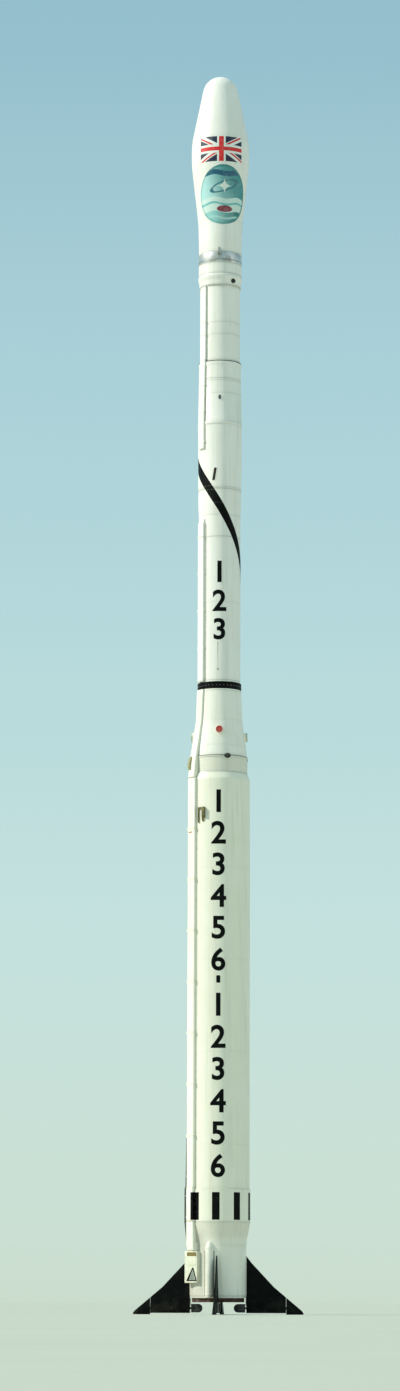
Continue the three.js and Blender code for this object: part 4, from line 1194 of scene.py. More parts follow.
# Separation band.
# A broad black band of turned steel, where the second stage parts from the cone. Two low
# beads run round it, and a row of bolts between them holds it shut.
BAND_RADIUS, BAND_LOW, BAND_TOP = 0.402, CONE_TOP + ON_TOP, 11.130
BAND_EDGE, BAND_EDGE_TALL = 0.003, 0.004
BAND_BEADS, BAND_BOLT_HEIGHT = (11.035, 11.095), 11.065
BAND_BOLT = (0.007, 0.005)
band_profile = (
    [(BAND_RADIUS - BAND_EDGE, BAND_LOW), (BAND_RADIUS, CONE_TOP + BAND_EDGE_TALL)]
    + beaded(CONE_TOP + 0.008, BAND_TOP - 0.008, BAND_RADIUS - 0.001, BAND_BEADS, 0.001, 0.008)
    + [(BAND_RADIUS, BAND_TOP - BAND_EDGE_TALL), (BAND_RADIUS - BAND_EDGE, BAND_TOP)])
build("separation_band_ring", capped(band_profile), BLACK, "separation_band")
screws("separation_bolts", rows(BAND_RADIUS - 0.001, (BAND_BOLT_HEIGHT,), 36), STEEL, BAND_BOLT)

# Second stage.
# A slimmer motor case with a wider head, painted white, with numerals and one black stripe
# that winds down round it, so that its turning can be seen from the ground.
STAGE2_RADIUS, STAGE2_HEAD = 0.384, 0.396
STAGE2_LOW, STAGE2_TOP = BAND_TOP + ON_TOP, 14.750
SHOULDER_LOW, SHOULDER_HIGH = 14.250, 14.450
STAGE2_WELDS, STAGE2_WELD_RISE = (11.60, 12.62, 13.84), 0.0012
STAGE2_RIVET_ROW, STAGE2_HEAD_ROWS = 11.150, (14.715, 14.47)
UPPER_FOOT, UPPER_WAIST, UPPER_WAIST_LOW, UPPER_WAIST_HIGH = 0.400, 0.406, 15.950, 16.020
SPLICE_RADIUS, SPLICE_LOW, SPLICE_HIGH = 0.412, 15.960, 16.010
UPPER_END, UPPER_TOP = 0.388, 17.090
UPPER_OUTLINE = [
    (STAGE2_RADIUS + STAGE2_WELD_RISE, BAND_TOP),
    (STAGE2_RADIUS + STAGE2_WELD_RISE, SHOULDER_LOW - 0.02),
    (STAGE2_HEAD, SHOULDER_HIGH - 0.01), (STAGE2_HEAD, STAGE2_TOP - 0.002),
    (UPPER_FOOT, STAGE2_TOP - 0.001), (UPPER_WAIST, UPPER_WAIST_LOW),
    (SPLICE_RADIUS, SPLICE_LOW - 0.001), (SPLICE_RADIUS, SPLICE_HIGH + 0.001),
    (UPPER_WAIST, UPPER_WAIST_HIGH), (UPPER_END, UPPER_TOP)]
STRIPE_TALL = 0.29
STRIPE_AZIMUTH, STRIPE_MIDDLE = 3.2, 14.42  # where the stripe crosses the front
STRIPE_FALL = 0.0115                 # metres lower for each degree to the right
STRIPE_CURVE = 0.0000208             # how much steeper it gets
STRIPE_START, STRIPE_END, STRIPE_STEPS = -84, 124, 52
STRIPE_BEND = 0.39
STAGE2_NUMERAL_TALL, STAGE2_NUMERAL_AZIMUTH = 0.40, 2.8
STAGE2_NUMERALS = (("1", 13.175), ("2", 12.635), ("3", 12.105))
STAGE2_TUNNEL_WIDE, STAGE2_TUNNEL_OUT = 0.170, 0.430
STAGE2_FOOT_LOW, STAGE2_FOOT_HIGH, STAGE2_SEAL_PROUD = 11.16, 14.06, 0.002
STAGE2_STRAPS, STAGE2_STRAP_TALL = (11.75, 12.45, 13.15, 13.815), 0.045
SLIM_FOOT_SCREW = (0.005, 0.004)
SLIM_SCREW_RUN = (0.016, 11.2, 14.0, 0.14)
VENT_AZIMUTH, VENT_HEIGHT, DRIP_HEIGHT, DRIP_PROUD = -1.5, 11.36, 11.62, 0.0006
VENT_PROFILE = (
    (0.0, 0.37), (0.016, 0.37), (0.016, 0.3875), (0.013, 0.3885), (0.010, 0.3885),
    (0.007, 0.380), (0.0, 0.380))
DRIP_POINTS = ((-0.006, 0.25), (-0.003, -0.08), (0.0, -0.25), (0.003, -0.08), (0.006, 0.25))

STAGE2_WHITE = white_paint("white_paint_second_stage", (
    (11.165, 0.5), (STAGE2_WELDS[1], 0.16), (STAGE2_WELDS[2], 0.55), (SHOULDER_LOW, 0.3),
    (14.735, 0.55)))
stage2_profile = (
    [(STAGE2_RADIUS, STAGE2_LOW)]
    + beaded(BAND_TOP + 0.004, SHOULDER_LOW - 0.03, STAGE2_RADIUS, STAGE2_WELDS,
             STAGE2_WELD_RISE)
    + softened([(STAGE2_RADIUS, SHOULDER_LOW - 0.02), (STAGE2_RADIUS, SHOULDER_LOW),
                (STAGE2_HEAD, SHOULDER_HIGH), (STAGE2_HEAD, STAGE2_TOP - 0.003)], 0.05)
    + [(STAGE2_HEAD - 0.003, STAGE2_TOP)])
build("second_stage_shell", capped(stage2_profile), STAGE2_WHITE, "second_stage_case")
screws("second_stage_rivets",
       rows(STAGE2_RADIUS, (STAGE2_RIVET_ROW,), 60) + rows(STAGE2_HEAD, STAGE2_HEAD_ROWS, 64),
       STAGE2_WHITE, FINE_RIVET)

middle_line = []
for i in range(STRIPE_STEPS + 1):
    azimuth = STRIPE_START + (STRIPE_END - STRIPE_START) * i / STRIPE_STEPS
    drop = STRIPE_FALL * azimuth + STRIPE_CURVE * azimuth ** 2
    middle_line.append((math.radians(azimuth) * STRIPE_BEND, -drop))
stripe = flat([(x, y - STRIPE_TALL / 2) for x, y in middle_line]
              + [(x, y + STRIPE_TALL / 2) for x, y in reversed(middle_line)])
build("spiral_stripe",
      laid_on(stripe, STRIPE_AZIMUTH, STRIPE_MIDDLE, UPPER_OUTLINE, PATCH_PROUD, STRIPE_BEND),
      BLACK)
build("second_stage_numerals",
      [laid_on(figure(sign, STAGE2_NUMERAL_TALL), STAGE2_NUMERAL_AZIMUTH, height,
               UPPER_OUTLINE, PAINT_PROUD) for sign, height in STAGE2_NUMERALS], BLACK)

build("second_stage_tunnel_cover", eased("second_stage_tunnel", 0.028, segments=6, outer=True),
      STAGE2_WHITE, "second_stage_tunnel")
build("second_stage_tunnel_feet",
      feet(TUNNEL_AZIMUTH, STAGE2_TUNNEL_WIDE, STAGE2_FOOT_LOW, STAGE2_FOOT_HIGH,
           UPPER_OUTLINE), STAGE2_WHITE)
UPPER_SEALANT = mottled(
    "pale_sealant", "insulation", (0.34, 0.32, 0.23), (0.48, 0.46, 0.35), 14.0, 0.75)
build("second_stage_tunnel_seal",
      feet(TUNNEL_AZIMUTH, STAGE2_TUNNEL_WIDE + 2 * FOOT - SEAL_INSET, STAGE2_FOOT_LOW - 0.01,
           STAGE2_FOOT_HIGH + 0.02, UPPER_OUTLINE, SEAL_WIDE, STAGE2_SEAL_PROUD), UPPER_SEALANT)
screws("second_stage_tunnel_screws",
       beside_tunnel(TUNNEL_AZIMUTH, STAGE2_TUNNEL_WIDE, STAGE2_RADIUS, *SLIM_SCREW_RUN),
       STEEL, SLIM_FOOT_SCREW)
build("second_stage_tunnel_straps", straps(
    TUNNEL_AZIMUTH, STAGE2_TUNNEL_WIDE, STAGE2_STRAP_TALL,
    [(STAGE2_RADIUS, STAGE2_TUNNEL_OUT + STRAP_OUT, at) for at in STAGE2_STRAPS]), STAGE2_WHITE)
build("second_stage_vent", aimed(turned(VENT_PROFILE, 20), VENT_AZIMUTH, VENT_HEIGHT), DARK_STEEL)
RUST = mottled(
    "rust_streak", "white_paint", (0.36, 0.31, 0.20), (0.58, 0.55, 0.43), 16.0, 0.55)
build("vent_streak",
      laid_on(flat(DRIP_POINTS), VENT_AZIMUTH, DRIP_HEIGHT, UPPER_OUTLINE, DRIP_PROUD), RUST,
      crease=LAID_CREASE)

# Upper transition.
# Riveted white rings over the second stage's head, spliced half-way by a raised band, with
# screwed doors, a slanting slot edged in rubber, and an oval port.
SPLICE_EDGE = 0.002
TRANSITION_ROWS = (14.79, 15.36, 15.925, 15.985, 16.045, 16.55, 16.83, 17.055)
UPPER_DOORS = (                      # azimuth, height, width and tallness
    (118, 15.55, 0.22, 0.30), (175, 16.30, 0.15, 0.20), (215, 15.20, 0.20, 0.28),
    (252, 15.60, 0.18, 0.26))
SLOT_AZIMUTH, SLOT_HEIGHT, SLOT_CORNER = -11.0, 15.005, 0.011
SLOT_SLANT = 0.16                    # towards the right as it rises
PORT_AZIMUTH, PORT_HEIGHT, PORT_STRETCH = 2.5, 16.46, 1.7
PORT_PROFILE = (
    (0.0, 0.38), (0.026, 0.38), (0.026, 0.4015), (0.023, 0.4050), (0.019, 0.4050),
    (0.017, 0.4010), (0.0, 0.4005))
# The entry at 16.79 is no joint: it is a band of painted shade under the line at 16.83.
UPPER_WHITE = white_paint("white_paint_upper_transition", (
    (14.77, 0.4), (15.955, 0.25), (16.015, 0.30), (16.55, 0.25), (16.79, 0.30), (16.83, 0.45)))
RUBBER = mottled(
    "dark_rubber", "insulation", (0.006, 0.005, 0.003), (0.022, 0.016, 0.009), 22.0, 0.8)
transition_profile = [
    (UPPER_FOOT, STAGE2_TOP + ON_TOP), (UPPER_FOOT, STAGE2_TOP + 0.01),
    (UPPER_WAIST - 0.0005, UPPER_WAIST_LOW - 0.01), (UPPER_WAIST, UPPER_WAIST_LOW),
    (SPLICE_RADIUS - SPLICE_EDGE, SPLICE_LOW), (SPLICE_RADIUS, SPLICE_LOW + 2 * SPLICE_EDGE),
    (SPLICE_RADIUS, SPLICE_HIGH - 2 * SPLICE_EDGE), (SPLICE_RADIUS - SPLICE_EDGE, SPLICE_HIGH),
    (UPPER_WAIST, UPPER_WAIST_HIGH), (UPPER_END, UPPER_TOP)]
build("upper_transition_shell", capped(transition_profile), UPPER_WHITE, "upper_transition")
screws("upper_transition_rivets", rows(UPPER_OUTLINE, TRANSITION_ROWS, 60), UPPER_WHITE,
       FINE_RIVET)
doors("upper_door", UPPER_DOORS, UPPER_OUTLINE, UPPER_WHITE)
for name, wide, tall, proud, finish in (
        ("slot_frame", 0.078, 0.27, 0.003, UPPER_WHITE),
        ("slot_mouth", 0.050, 0.235, 0.0042, RUBBER)):
    slanted = [(x + SLOT_SLANT * y, y) for x, y in rounded(wide, tall, SLOT_CORNER)]
    build(name, laid_on(flat(slanted), SLOT_AZIMUTH, SLOT_HEIGHT, UPPER_OUTLINE, proud), finish,
          crease=LAID_CREASE)
port = turned(PORT_PROFILE, 28)
port.transform(Matrix.Diagonal((1, PORT_STRETCH, 1, 1)))
build("upper_port", aimed(port, PORT_AZIMUTH, PORT_HEIGHT), DARK_STEEL)

# Third stage.
# A bolted ring and the smooth third motor case, held by two thin straps, all painted white.
# Its own wiring tunnel starts on the transition and runs up the left side.
RING3_RADIUS, RING3_LOW, RING3_TOP = 0.392, UPPER_TOP + ON_TOP, 17.170
RING_EDGE, RING_EDGE_TALL = 0.003, 0.004
RING_BOLT, RING_BOLT_HEIGHT = (0.008, 0.005), 17.125
RING_SEAL_LOW, RING_SEAL_HIGH, RING_SEAL_OUT, RING_SEAL_IN = 17.152, 17.1685, 0.0012, 0.004
STAGE3_RADIUS, STAGE3_LOW, STAGE3_TOP = 0.372, RING3_TOP + ON_TOP, 18.610
STAGE3_BEADS = (17.68, 17.91)
STAGE3_OUTLINE = [
    (RING3_RADIUS, UPPER_TOP), (RING3_RADIUS, RING3_TOP), (STAGE3_RADIUS, RING3_TOP + 0.001),
    (STAGE3_RADIUS, STAGE3_TOP)]
STAGE3_TUNNEL_AZIMUTH, STAGE3_TUNNEL_WIDE, STAGE3_SEAL_WIDE = -50, 0.150, 0.012
STAGE3_STRAP_TALL = 0.035
STAGE3_STRAPS = (                    # inner and outer radius, and height
    (STAGE3_RADIUS, 0.4145, 17.662), (STAGE3_RADIUS, 0.4135, 17.892),
    (SPLICE_RADIUS, 0.4418, 15.62), (UPPER_WAIST, 0.4400, 16.20),
    (UPPER_END + 0.009, 0.4335, 16.70))
STAGE3_SEALS = (                     # low and high end, what it lies on, and its rise
    (17.22, 18.59, STAGE3_OUTLINE, 0.005), (16.03, 17.08, UPPER_OUTLINE, 0.009))
STAGE3_WHITE = white_paint("white_paint_third_stage", (
    (17.19, 0.5), (STAGE3_BEADS[0], 0.3), (STAGE3_BEADS[1], 0.3), (18.59, 0.5)), 0.8)
ring3_profile = [
    (RING3_RADIUS - RING_EDGE, RING3_LOW), (RING3_RADIUS, UPPER_TOP + RING_EDGE_TALL),
    (RING3_RADIUS, RING3_TOP - RING_EDGE_TALL), (RING3_RADIUS - RING_EDGE, RING3_TOP)]
build("third_stage_ring_body", capped(ring3_profile), STAGE3_WHITE, "third_stage_ring")
ring_seal = [
    (RING3_RADIUS - RING_SEAL_IN, RING_SEAL_LOW), (RING3_RADIUS + RING_SEAL_OUT, RING_SEAL_LOW),
    (RING3_RADIUS + RING_SEAL_OUT, RING_SEAL_HIGH), (RING3_RADIUS - RING_SEAL_IN, RING_SEAL_HIGH)]
build("third_stage_ring_seal", turned(ring_seal, closed=True), DARK_SEALANT)
screws("third_stage_ring_bolts", rows(RING3_RADIUS, (RING_BOLT_HEIGHT,), 40), STAGE3_WHITE,
       RING_BOLT)
stage3_profile = (
    [(STAGE3_RADIUS, STAGE3_LOW)]
    + beaded(RING3_TOP + 0.01, STAGE3_TOP - 0.005, STAGE3_RADIUS, STAGE3_BEADS, 0.002, 0.016)
    + [(STAGE3_RADIUS - 0.004, STAGE3_TOP)])
build("third_stage_shell", capped(stage3_profile), STAGE3_WHITE, "third_stage_case")
build("third_stage_tunnel_cover", eased("third_stage_tunnel", 0.024, segments=6, outer=True),
      STAGE3_WHITE, "third_stage_tunnel")
stage3_seals = []
for low, high, outline, proud in STAGE3_SEALS:
    stage3_seals += feet(STAGE3_TUNNEL_AZIMUTH, STAGE3_TUNNEL_WIDE - SEAL_INSET, low, high,
                         outline, STAGE3_SEAL_WIDE, proud)
build("third_stage_tunnel_seal", stage3_seals, UPPER_SEALANT)
build("third_stage_tunnel_straps",
      straps(STAGE3_TUNNEL_AZIMUTH, STAGE3_TUNNEL_WIDE, STAGE3_STRAP_TALL, STAGE3_STRAPS),
      STAGE3_WHITE)

# Collar and base ring of the heat shield.
# A lipped collar of white sheet, with two small jets, carries an alloy ring. The ring holds
# the two hinges that the halves of the shield swing on, and is clamped by a bolted band.
COLLAR_FOOT, COLLAR_LIP, COLLAR_UPPER, COLLAR_TOP = 0.385, 0.410, 0.400, 19.050
COLLAR_OUTLINE = [
    (COLLAR_FOOT, STAGE3_TOP), (0.392, 18.710), (COLLAR_LIP, 18.775), (COLLAR_LIP, 18.805),
    (COLLAR_UPPER, 18.830), (COLLAR_UPPER, COLLAR_TOP)]
COLLAR_SOFT = 0.012
COLLAR_JET_AZIMUTHS, COLLAR_JET_HEIGHT = (41, 221), 18.697
COLLAR_JET = (0.042, 0.408, 0.033, 0.32, 1.1)
COLLAR_LOW_ROW, COLLAR_ROWS = 18.635, (18.86, 19.03)
COLLAR_DOORS = [(azimuth, 18.945, 0.13, 0.11) for azimuth in (118, 182, 246)]
COLLAR_DOOR_CORNER, COLLAR_DOOR_PITCH = 0.015, 0.05
SHIELD_BOLT_ROW = 19.150
SHIELD_RING_RADIUS, SHIELD_BAND_PROUD, SHIELD_BAND_SUNK = 0.402, 0.004, 0.001
ALLOY = metal("bare_alloy", (0.60, 0.61, 0.60), 0.9, "alloy")
COLLAR_WHITE = white_paint("white_paint_collar", ((18.618, 0.8), (18.84, 0.6), (19.04, 0.6)))
collar_profile = softened([(COLLAR_FOOT, STAGE3_TOP + ON_TOP)] + COLLAR_OUTLINE[1:], COLLAR_SOFT)
build("upper_collar_shell", capped(collar_profile), COLLAR_WHITE, "upper_collar")
build("collar_jets",
      [jet_ring(azimuth, COLLAR_JET_HEIGHT, *COLLAR_JET) for azimuth in COLLAR_JET_AZIMUTHS],
      BURNT)
screws("collar_rivets",
       rows(COLLAR_FOOT + 0.0025, (COLLAR_LOW_ROW,), 60) + rows(COLLAR_UPPER, COLLAR_ROWS, 60),
       COLLAR_WHITE, FINE_RIVET)
doors("collar_door", COLLAR_DOORS, COLLAR_OUTLINE, COLLAR_WHITE, COLLAR_DOOR_CORNER,
      COLLAR_DOOR_PITCH)
build("shield_ring", eased("shield_base_ring", 0.003), ALLOY, "shield_base_ring")
shield_band = [
    (SHIELD_RING_RADIUS - SHIELD_BAND_SUNK, 19.075),
    (SHIELD_RING_RADIUS + SHIELD_BAND_PROUD, 19.079),
    (SHIELD_RING_RADIUS + SHIELD_BAND_PROUD, 19.111),
    (SHIELD_RING_RADIUS - SHIELD_BAND_SUNK, 19.115)]
build("shield_ring_band", turned(shield_band, closed=True), STEEL)
screws("shield_ring_bolts", rows(SHIELD_RING_RADIUS, (SHIELD_BOLT_ROW,), 48), STEEL, BAND_BOLT)

# Heat shield.
# Two moulded half-shells with a thick wall, white outside, that meet on a bolted flange.
# Each hangs on a lug at its foot. The front half carries a flag and a round emblem.
SHIELD_LOW, SHIELD_FOOT = 19.246, 0.396
BOAT_LOW, BOAT_RADIUS = 19.860, 0.408
BULGE_LOW, BULGE_HIGH, BULGE = 20.990, 21.420, 0.537
NOSE_RADIUS, NOSE_CENTRE, NOSE_START = 0.330, 22.403, 12
SHIELD_SOFT, SHIELD_WALL, SHIELD_GAP, SHIELD_CREASE = 0.14, 0.020, 0.003, 30
FELT_THICK, FELT_RISE, INTO_WALL = 0.0015, 0.003, 0.001
SHIELD_BOLTS, SHIELD_BOLT_LOW, SHIELD_BOLT_PITCH, SHIELD_BOLT_IN = 28, 19.32, 0.115, 0.026
EDGINGS = ((19.27, 20.93), (20.95, 21.47), (21.49, 22.43))  # low and high end of each strip
EDGING_WIDE, EDGING_IN, EDGING_PROUD = 0.040, 0.024, 0.0015
FRAME_HEIGHTS, FRAME_SIDES = (19.62, 20.25, 20.85, 21.45, 22.05), 64
FRAME_DEEP, FRAME_SUNK = 0.020, 0.002
FRAME_ROOT, FRAME_RIM = 0.012, 0.009  # half of a frame's height at the wall and inside
HINGE_OUT, HINGE_HEIGHT = 0.436, 19.206
LUG_HALF, ARM_IN, ARM_SLIM, ARM_RISE = 0.012, 0.392, 0.412, 0.12
STEM_IN, STEM_RISE = 0.416, 0.004
EYE_PROFILE = ((0.0105, -LUG_HALF), (0.022, -LUG_HALF), (0.022, LUG_HALF), (0.0105, LUG_HALF))


def shield_outline(depth, steps=16):
    """The shield's outline from its foot to its tip, drawn in by a depth."""
    corners = [
        (SHIELD_FOOT, SHIELD_LOW), (BOAT_RADIUS, BOAT_LOW), (BULGE, BULGE_LOW), (BULGE, BULGE_HIGH)]
    nose = []
    for i in range(steps + 1):
        angle = math.radians(NOSE_START + (90 - NOSE_START) * i / steps)
        nose.append((NOSE_RADIUS * math.cos(angle), NOSE_CENTRE + NOSE_RADIUS * math.sin(angle)))
    line = softened(corners + [nose[0]], SHIELD_SOFT, 8) + nose[1:]
    if depth:
        highest = NOSE_CENTRE + NOSE_RADIUS - depth
        line = [(max(radius - depth, 0.0), min(height, highest)) for radius, height in line]
    line[-1] = (0.0, line[-1][1])
    return line


def half_shell(outer, inner, out, gap):
    """The half of a hollow turned shape on one side of a plane through the axis."""
    poles = [(0.0, outer[-1][1]), (0.0, inner[-1][1])]
    shape = turned(outer[:-1] + poles + inner[-2::-1], closed=True)
    bmesh.ops.remove_doubles(shape, verts=shape.verts[:], dist=1e-6)
    cut_away(shape, out * gap, out)
    return shape


def lug():
    """A bent arm under the shell's foot, a stem, and the eye that turns on the hinge's pin."""
    arm = boxed((-LUG_HALF, ARM_IN, SHIELD_LOW),
                (LUG_HALF, HINGE_OUT + LUG_HALF, HINGE_HEIGHT + ARM_RISE))
    for vertex in arm.verts:
        if vertex.co.z > SHIELD_LOW + STEM_RISE and vertex.co.y > ARM_SLIM:
            vertex.co.y = ARM_SLIM
    stem = boxed((-LUG_HALF, STEM_IN, HINGE_HEIGHT + LUG_HALF),
                 (LUG_HALF, HINGE_OUT + LUG_HALF, SHIELD_LOW + STEM_RISE))
    eye = turned(EYE_PROFILE, 28, closed=True)
    eye.transform(Matrix.Translation((0, HINGE_OUT, HINGE_HEIGHT))
                  @ Matrix.Rotation(math.pi / 2, 4, "Y"))
    return joined([arm, stem, eye])


SHIELD_LINE = shield_outline(0.0)
SHIELD_LINING = shield_outline(SHIELD_WALL)
SHIELD_WHITE = white_paint(
    "white_paint_shield", ((19.262, 0.4), (19.86, 0.10), (20.97, 0.10), (21.45, 0.12)), 0.7)
LINING = mottled(
    "shield_lining", "insulation", (0.42, 0.40, 0.27), (0.56, 0.54, 0.40), 12.0, 0.75, 0.0006)
for quarter, azimuth in (("front", 0), ("back", 180)):
    body = "shield_half_" + quarter
    out = radial(azimuth)
    build(f"heat_shield_shell_{quarter}",
          half_shell(SHIELD_LINE, SHIELD_LINING, out, SHIELD_GAP), SHIELD_WHITE,
          f"heat_shield_{quarter}", body, crease=SHIELD_CREASE)
    felt = half_shell(shield_outline(SHIELD_WALL - INTO_WALL),
                      shield_outline(SHIELD_WALL + FELT_THICK), out, SHIELD_GAP + INTO_WALL)
    cut_away(felt, (0, 0, SHIELD_LOW + FELT_RISE), (0, 0, 1))
    build(f"shield_felt_{quarter}", felt, LINING, body=body)
    bolts = []
    for i in range(SHIELD_BOLTS):
        height = SHIELD_BOLT_LOW + SHIELD_BOLT_PITCH * i
        skin = radius_at(SHIELD_LINE, height)
        for side in (-1, 1):
            turn = azimuth + side * (90 - math.degrees(SHIELD_BOLT_IN / skin))
            bolts.append(spot(turn, skin, height))
    screws(f"shield_bolts_{quarter}", bolts, STEEL, body=body)
    edging = []
    for side in (-1, 1):
        for low, high in EDGINGS:
            middle = (low + high) / 2
            skin = radius_at(SHIELD_LINE, middle)
            turn = azimuth + side * (90 - math.degrees(EDGING_IN / skin))
            edging.append(plate(EDGING_WIDE, high - low, turn, middle, SHIELD_LINE,
                                EDGING_PROUD, bend=skin))
    build(f"shield_edging_{quarter}", edging, SHIELD_WHITE, body=body)
    frames = []
    for height in FRAME_HEIGHTS:
        outer = radius_at(SHIELD_LINING, height) + FRAME_SUNK
        ring = turned([
            (outer, height - FRAME_ROOT), (outer, height + FRAME_ROOT),
            (outer - FRAME_DEEP, height + FRAME_RIM), (outer - FRAME_DEEP, height - FRAME_RIM)],
            FRAME_SIDES, closed=True)
        cut_away(ring, out * (SHIELD_GAP + INTO_WALL), out)
        frames.append(ring)
    build(f"shield_frames_{quarter}", frames, ALLOY, body=body)
    build(f"shield_lug_{quarter}", swung(lug(), azimuth + 180), STEEL, body=body)

# Flag and emblem.
# Both are painted on the front half of the shield through stencils: the common crossed flag,
# and under it a made-up oval with waves, a star on a tilted ring and a low red sun.
FLAG_WIDE, FLAG_TALL = 0.845, 0.480
FLAG_AZIMUTH, FLAG_HEIGHT = 5.0, 21.185
FLAG_RED, FLAG_BLUE = rgb(0.72, 0.006, 0.008), rgb(0.007, 0.012, 0.045)
FLAG_WHITE = rgb(0.84, 0.84, 0.78)
EMBLEM_WIDE, EMBLEM_TALL = 0.96, 1.12
EMBLEM_AZIMUTH, EMBLEM_HEIGHT = 10.0, 20.325
EMBLEM_SIDES = 72
WAVE_RISE = 0.022
FLAG_CORNER, MARK_PROUD = 0.003, 0.0012


def across_and_up(shade, wide, tall):
    """The place on a laid shape from its middle, in metres: to the right, and up."""
    chart = shade.node("UVMap", {"uv_map": "UVMap"})
    return (chart.along("X") - 0.5) * wide, (chart.along("Y") - 0.5) * tall


def distance(across, up):
    """How far a place is from the middle that its two parts are measured from."""
    return (across.math("POWER", 2) + up.math("POWER", 2)).math("SQRT")


def flag_finish():
    """The crossed flag: two white-edged red diagonals under a white-edged red cross, on blue."""
    material, shade, place = start_finish("flag_paint")
    x, y = across_and_up(shade, FLAG_WIDE, FLAG_TALL)
    length = math.hypot(FLAG_WIDE, FLAG_TALL)
    falling = (x * FLAG_TALL + y * FLAG_WIDE) / length
    rising = (x * FLAG_TALL - y * FLAG_WIDE) / length
    side = x.math("SIGN")

    def crossed(first, first_half, second, second_half, middle=0):
        """Two bars, at a middle and half as wide as said, that lie over each other."""
        soft = 0.004
        return first.near(middle, first_half, soft).math(
            "MAXIMUM", second.near(middle, second_half, soft))

    white_bars = crossed(falling, FLAG_TALL / 10, rising, FLAG_TALL / 10)
    red_bars = crossed(falling * side, FLAG_TALL / 30, rising * side * -1.0, FLAG_TALL / 30,
                       FLAG_TALL / 30)
    white_cross = crossed(x, FLAG_TALL / 6, y, FLAG_TALL / 6)
    red_cross = crossed(x, FLAG_TALL / 10.5, y, FLAG_TALL / 13)
    colour = white_bars.tint(FLAG_BLUE, FLAG_WHITE)
    colour = red_bars.tint(colour, FLAG_RED)
    colour = white_cross.tint(colour, FLAG_WHITE)
    colour = red_cross.tint(colour, FLAG_RED)
    worn = cloud(shade, place, 9.0, 4.0, 0.6).over(0.60, 0.20)
    colour = (worn * 0.10).tint(colour, rgb(0.62, 0.62, 0.56))
    relief = cloud(shade, place, 40.0)
    return end_finish(
        material, shade, colour, 0.46 + worn * 0.2, relief, 0.0004), "white_paint"


def emblem_finish():
    """A painted oval: pale and teal above, waves below, a star on a tilted ring, a red sun."""
    material, shade, place = start_finish("emblem_paint")
    x, y = across_and_up(shade, EMBLEM_WIDE, EMBLEM_TALL)
    wave = (x * 13.0 + 0.8).math("SINE")
    waved = y + wave * WAVE_RISE
    # Painted shade: the oval goes dark teal towards the right and the bottom, and its rim with it.
    shadow = (x * 1.1 + y * 0.5 + 0.50).over(0.52, 0.8)
    colour = shadow.tint(rgb(0.44, 0.70, 0.68), rgb(0.045, 0.26, 0.27))
    cap = (y + wave * 0.018).near(0.405, 0.048, 0.012)
    colour = cap.tint(colour, rgb(0.008, 0.095, 0.17))
    sea = 1.0 - waved.over(-0.06, 0.012)
    colour = sea.tint(colour, rgb(0.62, 0.76, 0.70))
    deep = 1.0 - waved.over(-0.325, 0.012)
    deep_shadow = (x + 0.5).over(0.55, 0.6)
    colour = deep.tint(colour, deep_shadow.tint(rgb(0.30, 0.60, 0.57), rgb(0.020, 0.17, 0.17)))
    for level, ink in ((-0.17, rgb(0.16, 0.48, 0.47)), (-0.43, rgb(0.40, 0.66, 0.62))):
        colour = waved.near(level, 0.020, 0.010).tint(colour, ink)
    from_star, above_star = x - 0.02, y - 0.16
    star = 1.0 - (from_star.math("ABSOLUTE").math("SQRT")
                  + above_star.math("ABSOLUTE").math("SQRT")).over(0.40, 0.02)
    along_ring = from_star * 0.94 + above_star * 0.34
    over_ring = above_star * 0.94 - from_star * 0.34
    orbit = distance(along_ring / 0.26, over_ring / 0.085)
    colour = orbit.near(1.0, 0.13, 0.05).tint(colour, rgb(0.025, 0.15, 0.20))
    colour = star.tint(colour, rgb(0.82, 0.84, 0.76))
    red_sun = 1.0 - distance((x - 0.03) * 0.42, y + 0.27).over(0.062, 0.008)
    colour = red_sun.tint(colour, rgb(0.24, 0.020, 0.045))
    outward = distance(x / (EMBLEM_WIDE / 2), y / (EMBLEM_TALL / 2))
    rim = outward.over(0.93, 0.014) * (0.35 + shadow * 0.65)
    colour = rim.tint(colour, rgb(0.030, 0.21, 0.21))
    worn = cloud(shade, place, 8.0, 4.0, 0.6).over(0.60, 0.22)
    colour = (worn * 0.20).tint(colour, rgb(0.60, 0.66, 0.60))
    relief = cloud(shade, place, 40.0)
    return end_finish(
        material, shade, colour, 0.36 + worn * 0.2, relief, 0.0004), "white_paint"


flag = plate(
    FLAG_WIDE, FLAG_TALL, FLAG_AZIMUTH, FLAG_HEIGHT, SHIELD_LINE, MARK_PROUD, FLAG_CORNER)
build("shield_flag", flag, flag_finish(), body="shield_half_front", crease=LAID_CREASE)
oval = []
for i in range(EMBLEM_SIDES):
    angle = math.tau * i / EMBLEM_SIDES
    oval.append((EMBLEM_WIDE / 2 * math.cos(angle), EMBLEM_TALL / 2 * math.sin(angle)))
emblem = laid_on(flat(oval), EMBLEM_AZIMUTH, EMBLEM_HEIGHT, SHIELD_LINE, MARK_PROUD)
build("shield_emblem", emblem, emblem_finish(), body="shield_half_front", crease=LAID_CREASE)

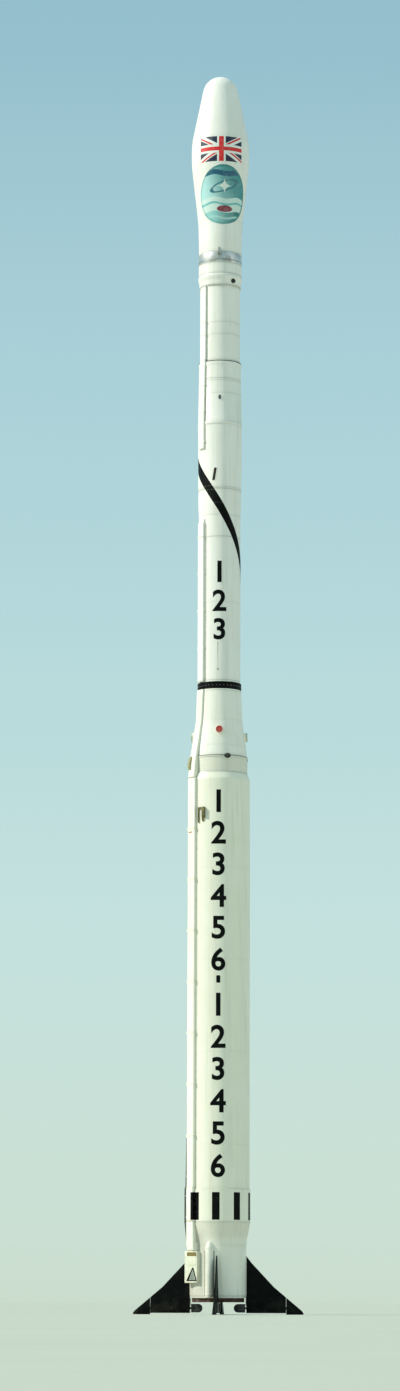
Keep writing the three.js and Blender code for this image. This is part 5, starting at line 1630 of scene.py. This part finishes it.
# Fourth stage, inside the heat shield.
# A small glass-fibre motor on a spin table, with the alloy ring on top that holds the
# satellite. The table turns on its bearing, and bolts hold the motor's foot.
TABLE_LOW, TABLE_TOP, TABLE_RADIUS, TABLE_NECK = 19.2403, 19.440, 0.320, 0.264
TABLE_BOLT = (0.009, 0.006)
TABLE_BOLT_ROW, MOTOR_BOLT_ROW, ADAPTER_BOLT_ROW = 19.27, 19.475, 21.093
MOTOR_RADIUS, MOTOR_WAIST, MOTOR_TOP = 0.254, 0.252, 20.900
MOTOR_LOW, MOTOR_BANDS = TABLE_TOP + ON_TOP, (19.56, 20.10, 20.66)
ADAPTER_LOW, ADAPTER_TOP, ADAPTER_EDGE = MOTOR_TOP + ON_TOP, 21.100, 0.002
ADAPTER_OUTER, ADAPTER_INNER = 0.230, 0.206
INSIDE_AROUND = 96
table_profile = [
    (TABLE_RADIUS - 0.003, TABLE_LOW), (TABLE_RADIUS, TABLE_LOW + 0.003), (TABLE_RADIUS, 19.292),
    (TABLE_RADIUS - 0.006, 19.300), (TABLE_NECK, TABLE_TOP - 0.02),
    (TABLE_NECK - 0.002, TABLE_TOP)]
build("spin_table_body", capped(table_profile, INSIDE_AROUND), ALLOY, "spin_table")
screws("spin_table_bolts", rows(TABLE_RADIUS, (TABLE_BOLT_ROW,), 24), STEEL, TABLE_BOLT)
MOTOR_PAINT = mottled(
    "glass_fibre", "white_paint", (0.50, 0.44, 0.26), (0.62, 0.57, 0.38), 10.0, 0.5, 0.0006)
motor_profile = (
    [(MOTOR_RADIUS - 0.004, MOTOR_LOW), (MOTOR_RADIUS, TABLE_TOP + 0.006)]
    + beaded(TABLE_TOP + 0.01, MOTOR_TOP - 0.10, MOTOR_WAIST, MOTOR_BANDS, 0.002, 0.02)
    + softened([(MOTOR_WAIST, MOTOR_TOP - 0.092), (MOTOR_WAIST, MOTOR_TOP - 0.088),
                (0.205, MOTOR_TOP - 0.002), (0.10, MOTOR_TOP)], 0.03))
build("fourth_stage_case", capped(motor_profile, INSIDE_AROUND), MOTOR_PAINT,
      "fourth_stage_motor")
screws("fourth_stage_bolts", rows(MOTOR_RADIUS, (MOTOR_BOLT_ROW,), 24), STEEL, BAND_BOLT)
adapter_profile = [
    (0.200, ADAPTER_LOW), (ADAPTER_OUTER, ADAPTER_TOP - 0.012),
    (ADAPTER_OUTER, ADAPTER_TOP - ADAPTER_EDGE), (ADAPTER_OUTER - ADAPTER_EDGE, ADAPTER_TOP),
    (ADAPTER_INNER + ADAPTER_EDGE, ADAPTER_TOP), (ADAPTER_INNER, ADAPTER_TOP - ADAPTER_EDGE),
    (0.176, ADAPTER_LOW)]
build("payload_ring", turned(adapter_profile, INSIDE_AROUND, closed=True), ALLOY,
      "payload_adapter")
screws("payload_ring_bolts", rows(ADAPTER_OUTER - 0.0015, (ADAPTER_BOLT_ROW,), 32), STEEL,
       COVER_SCREW)
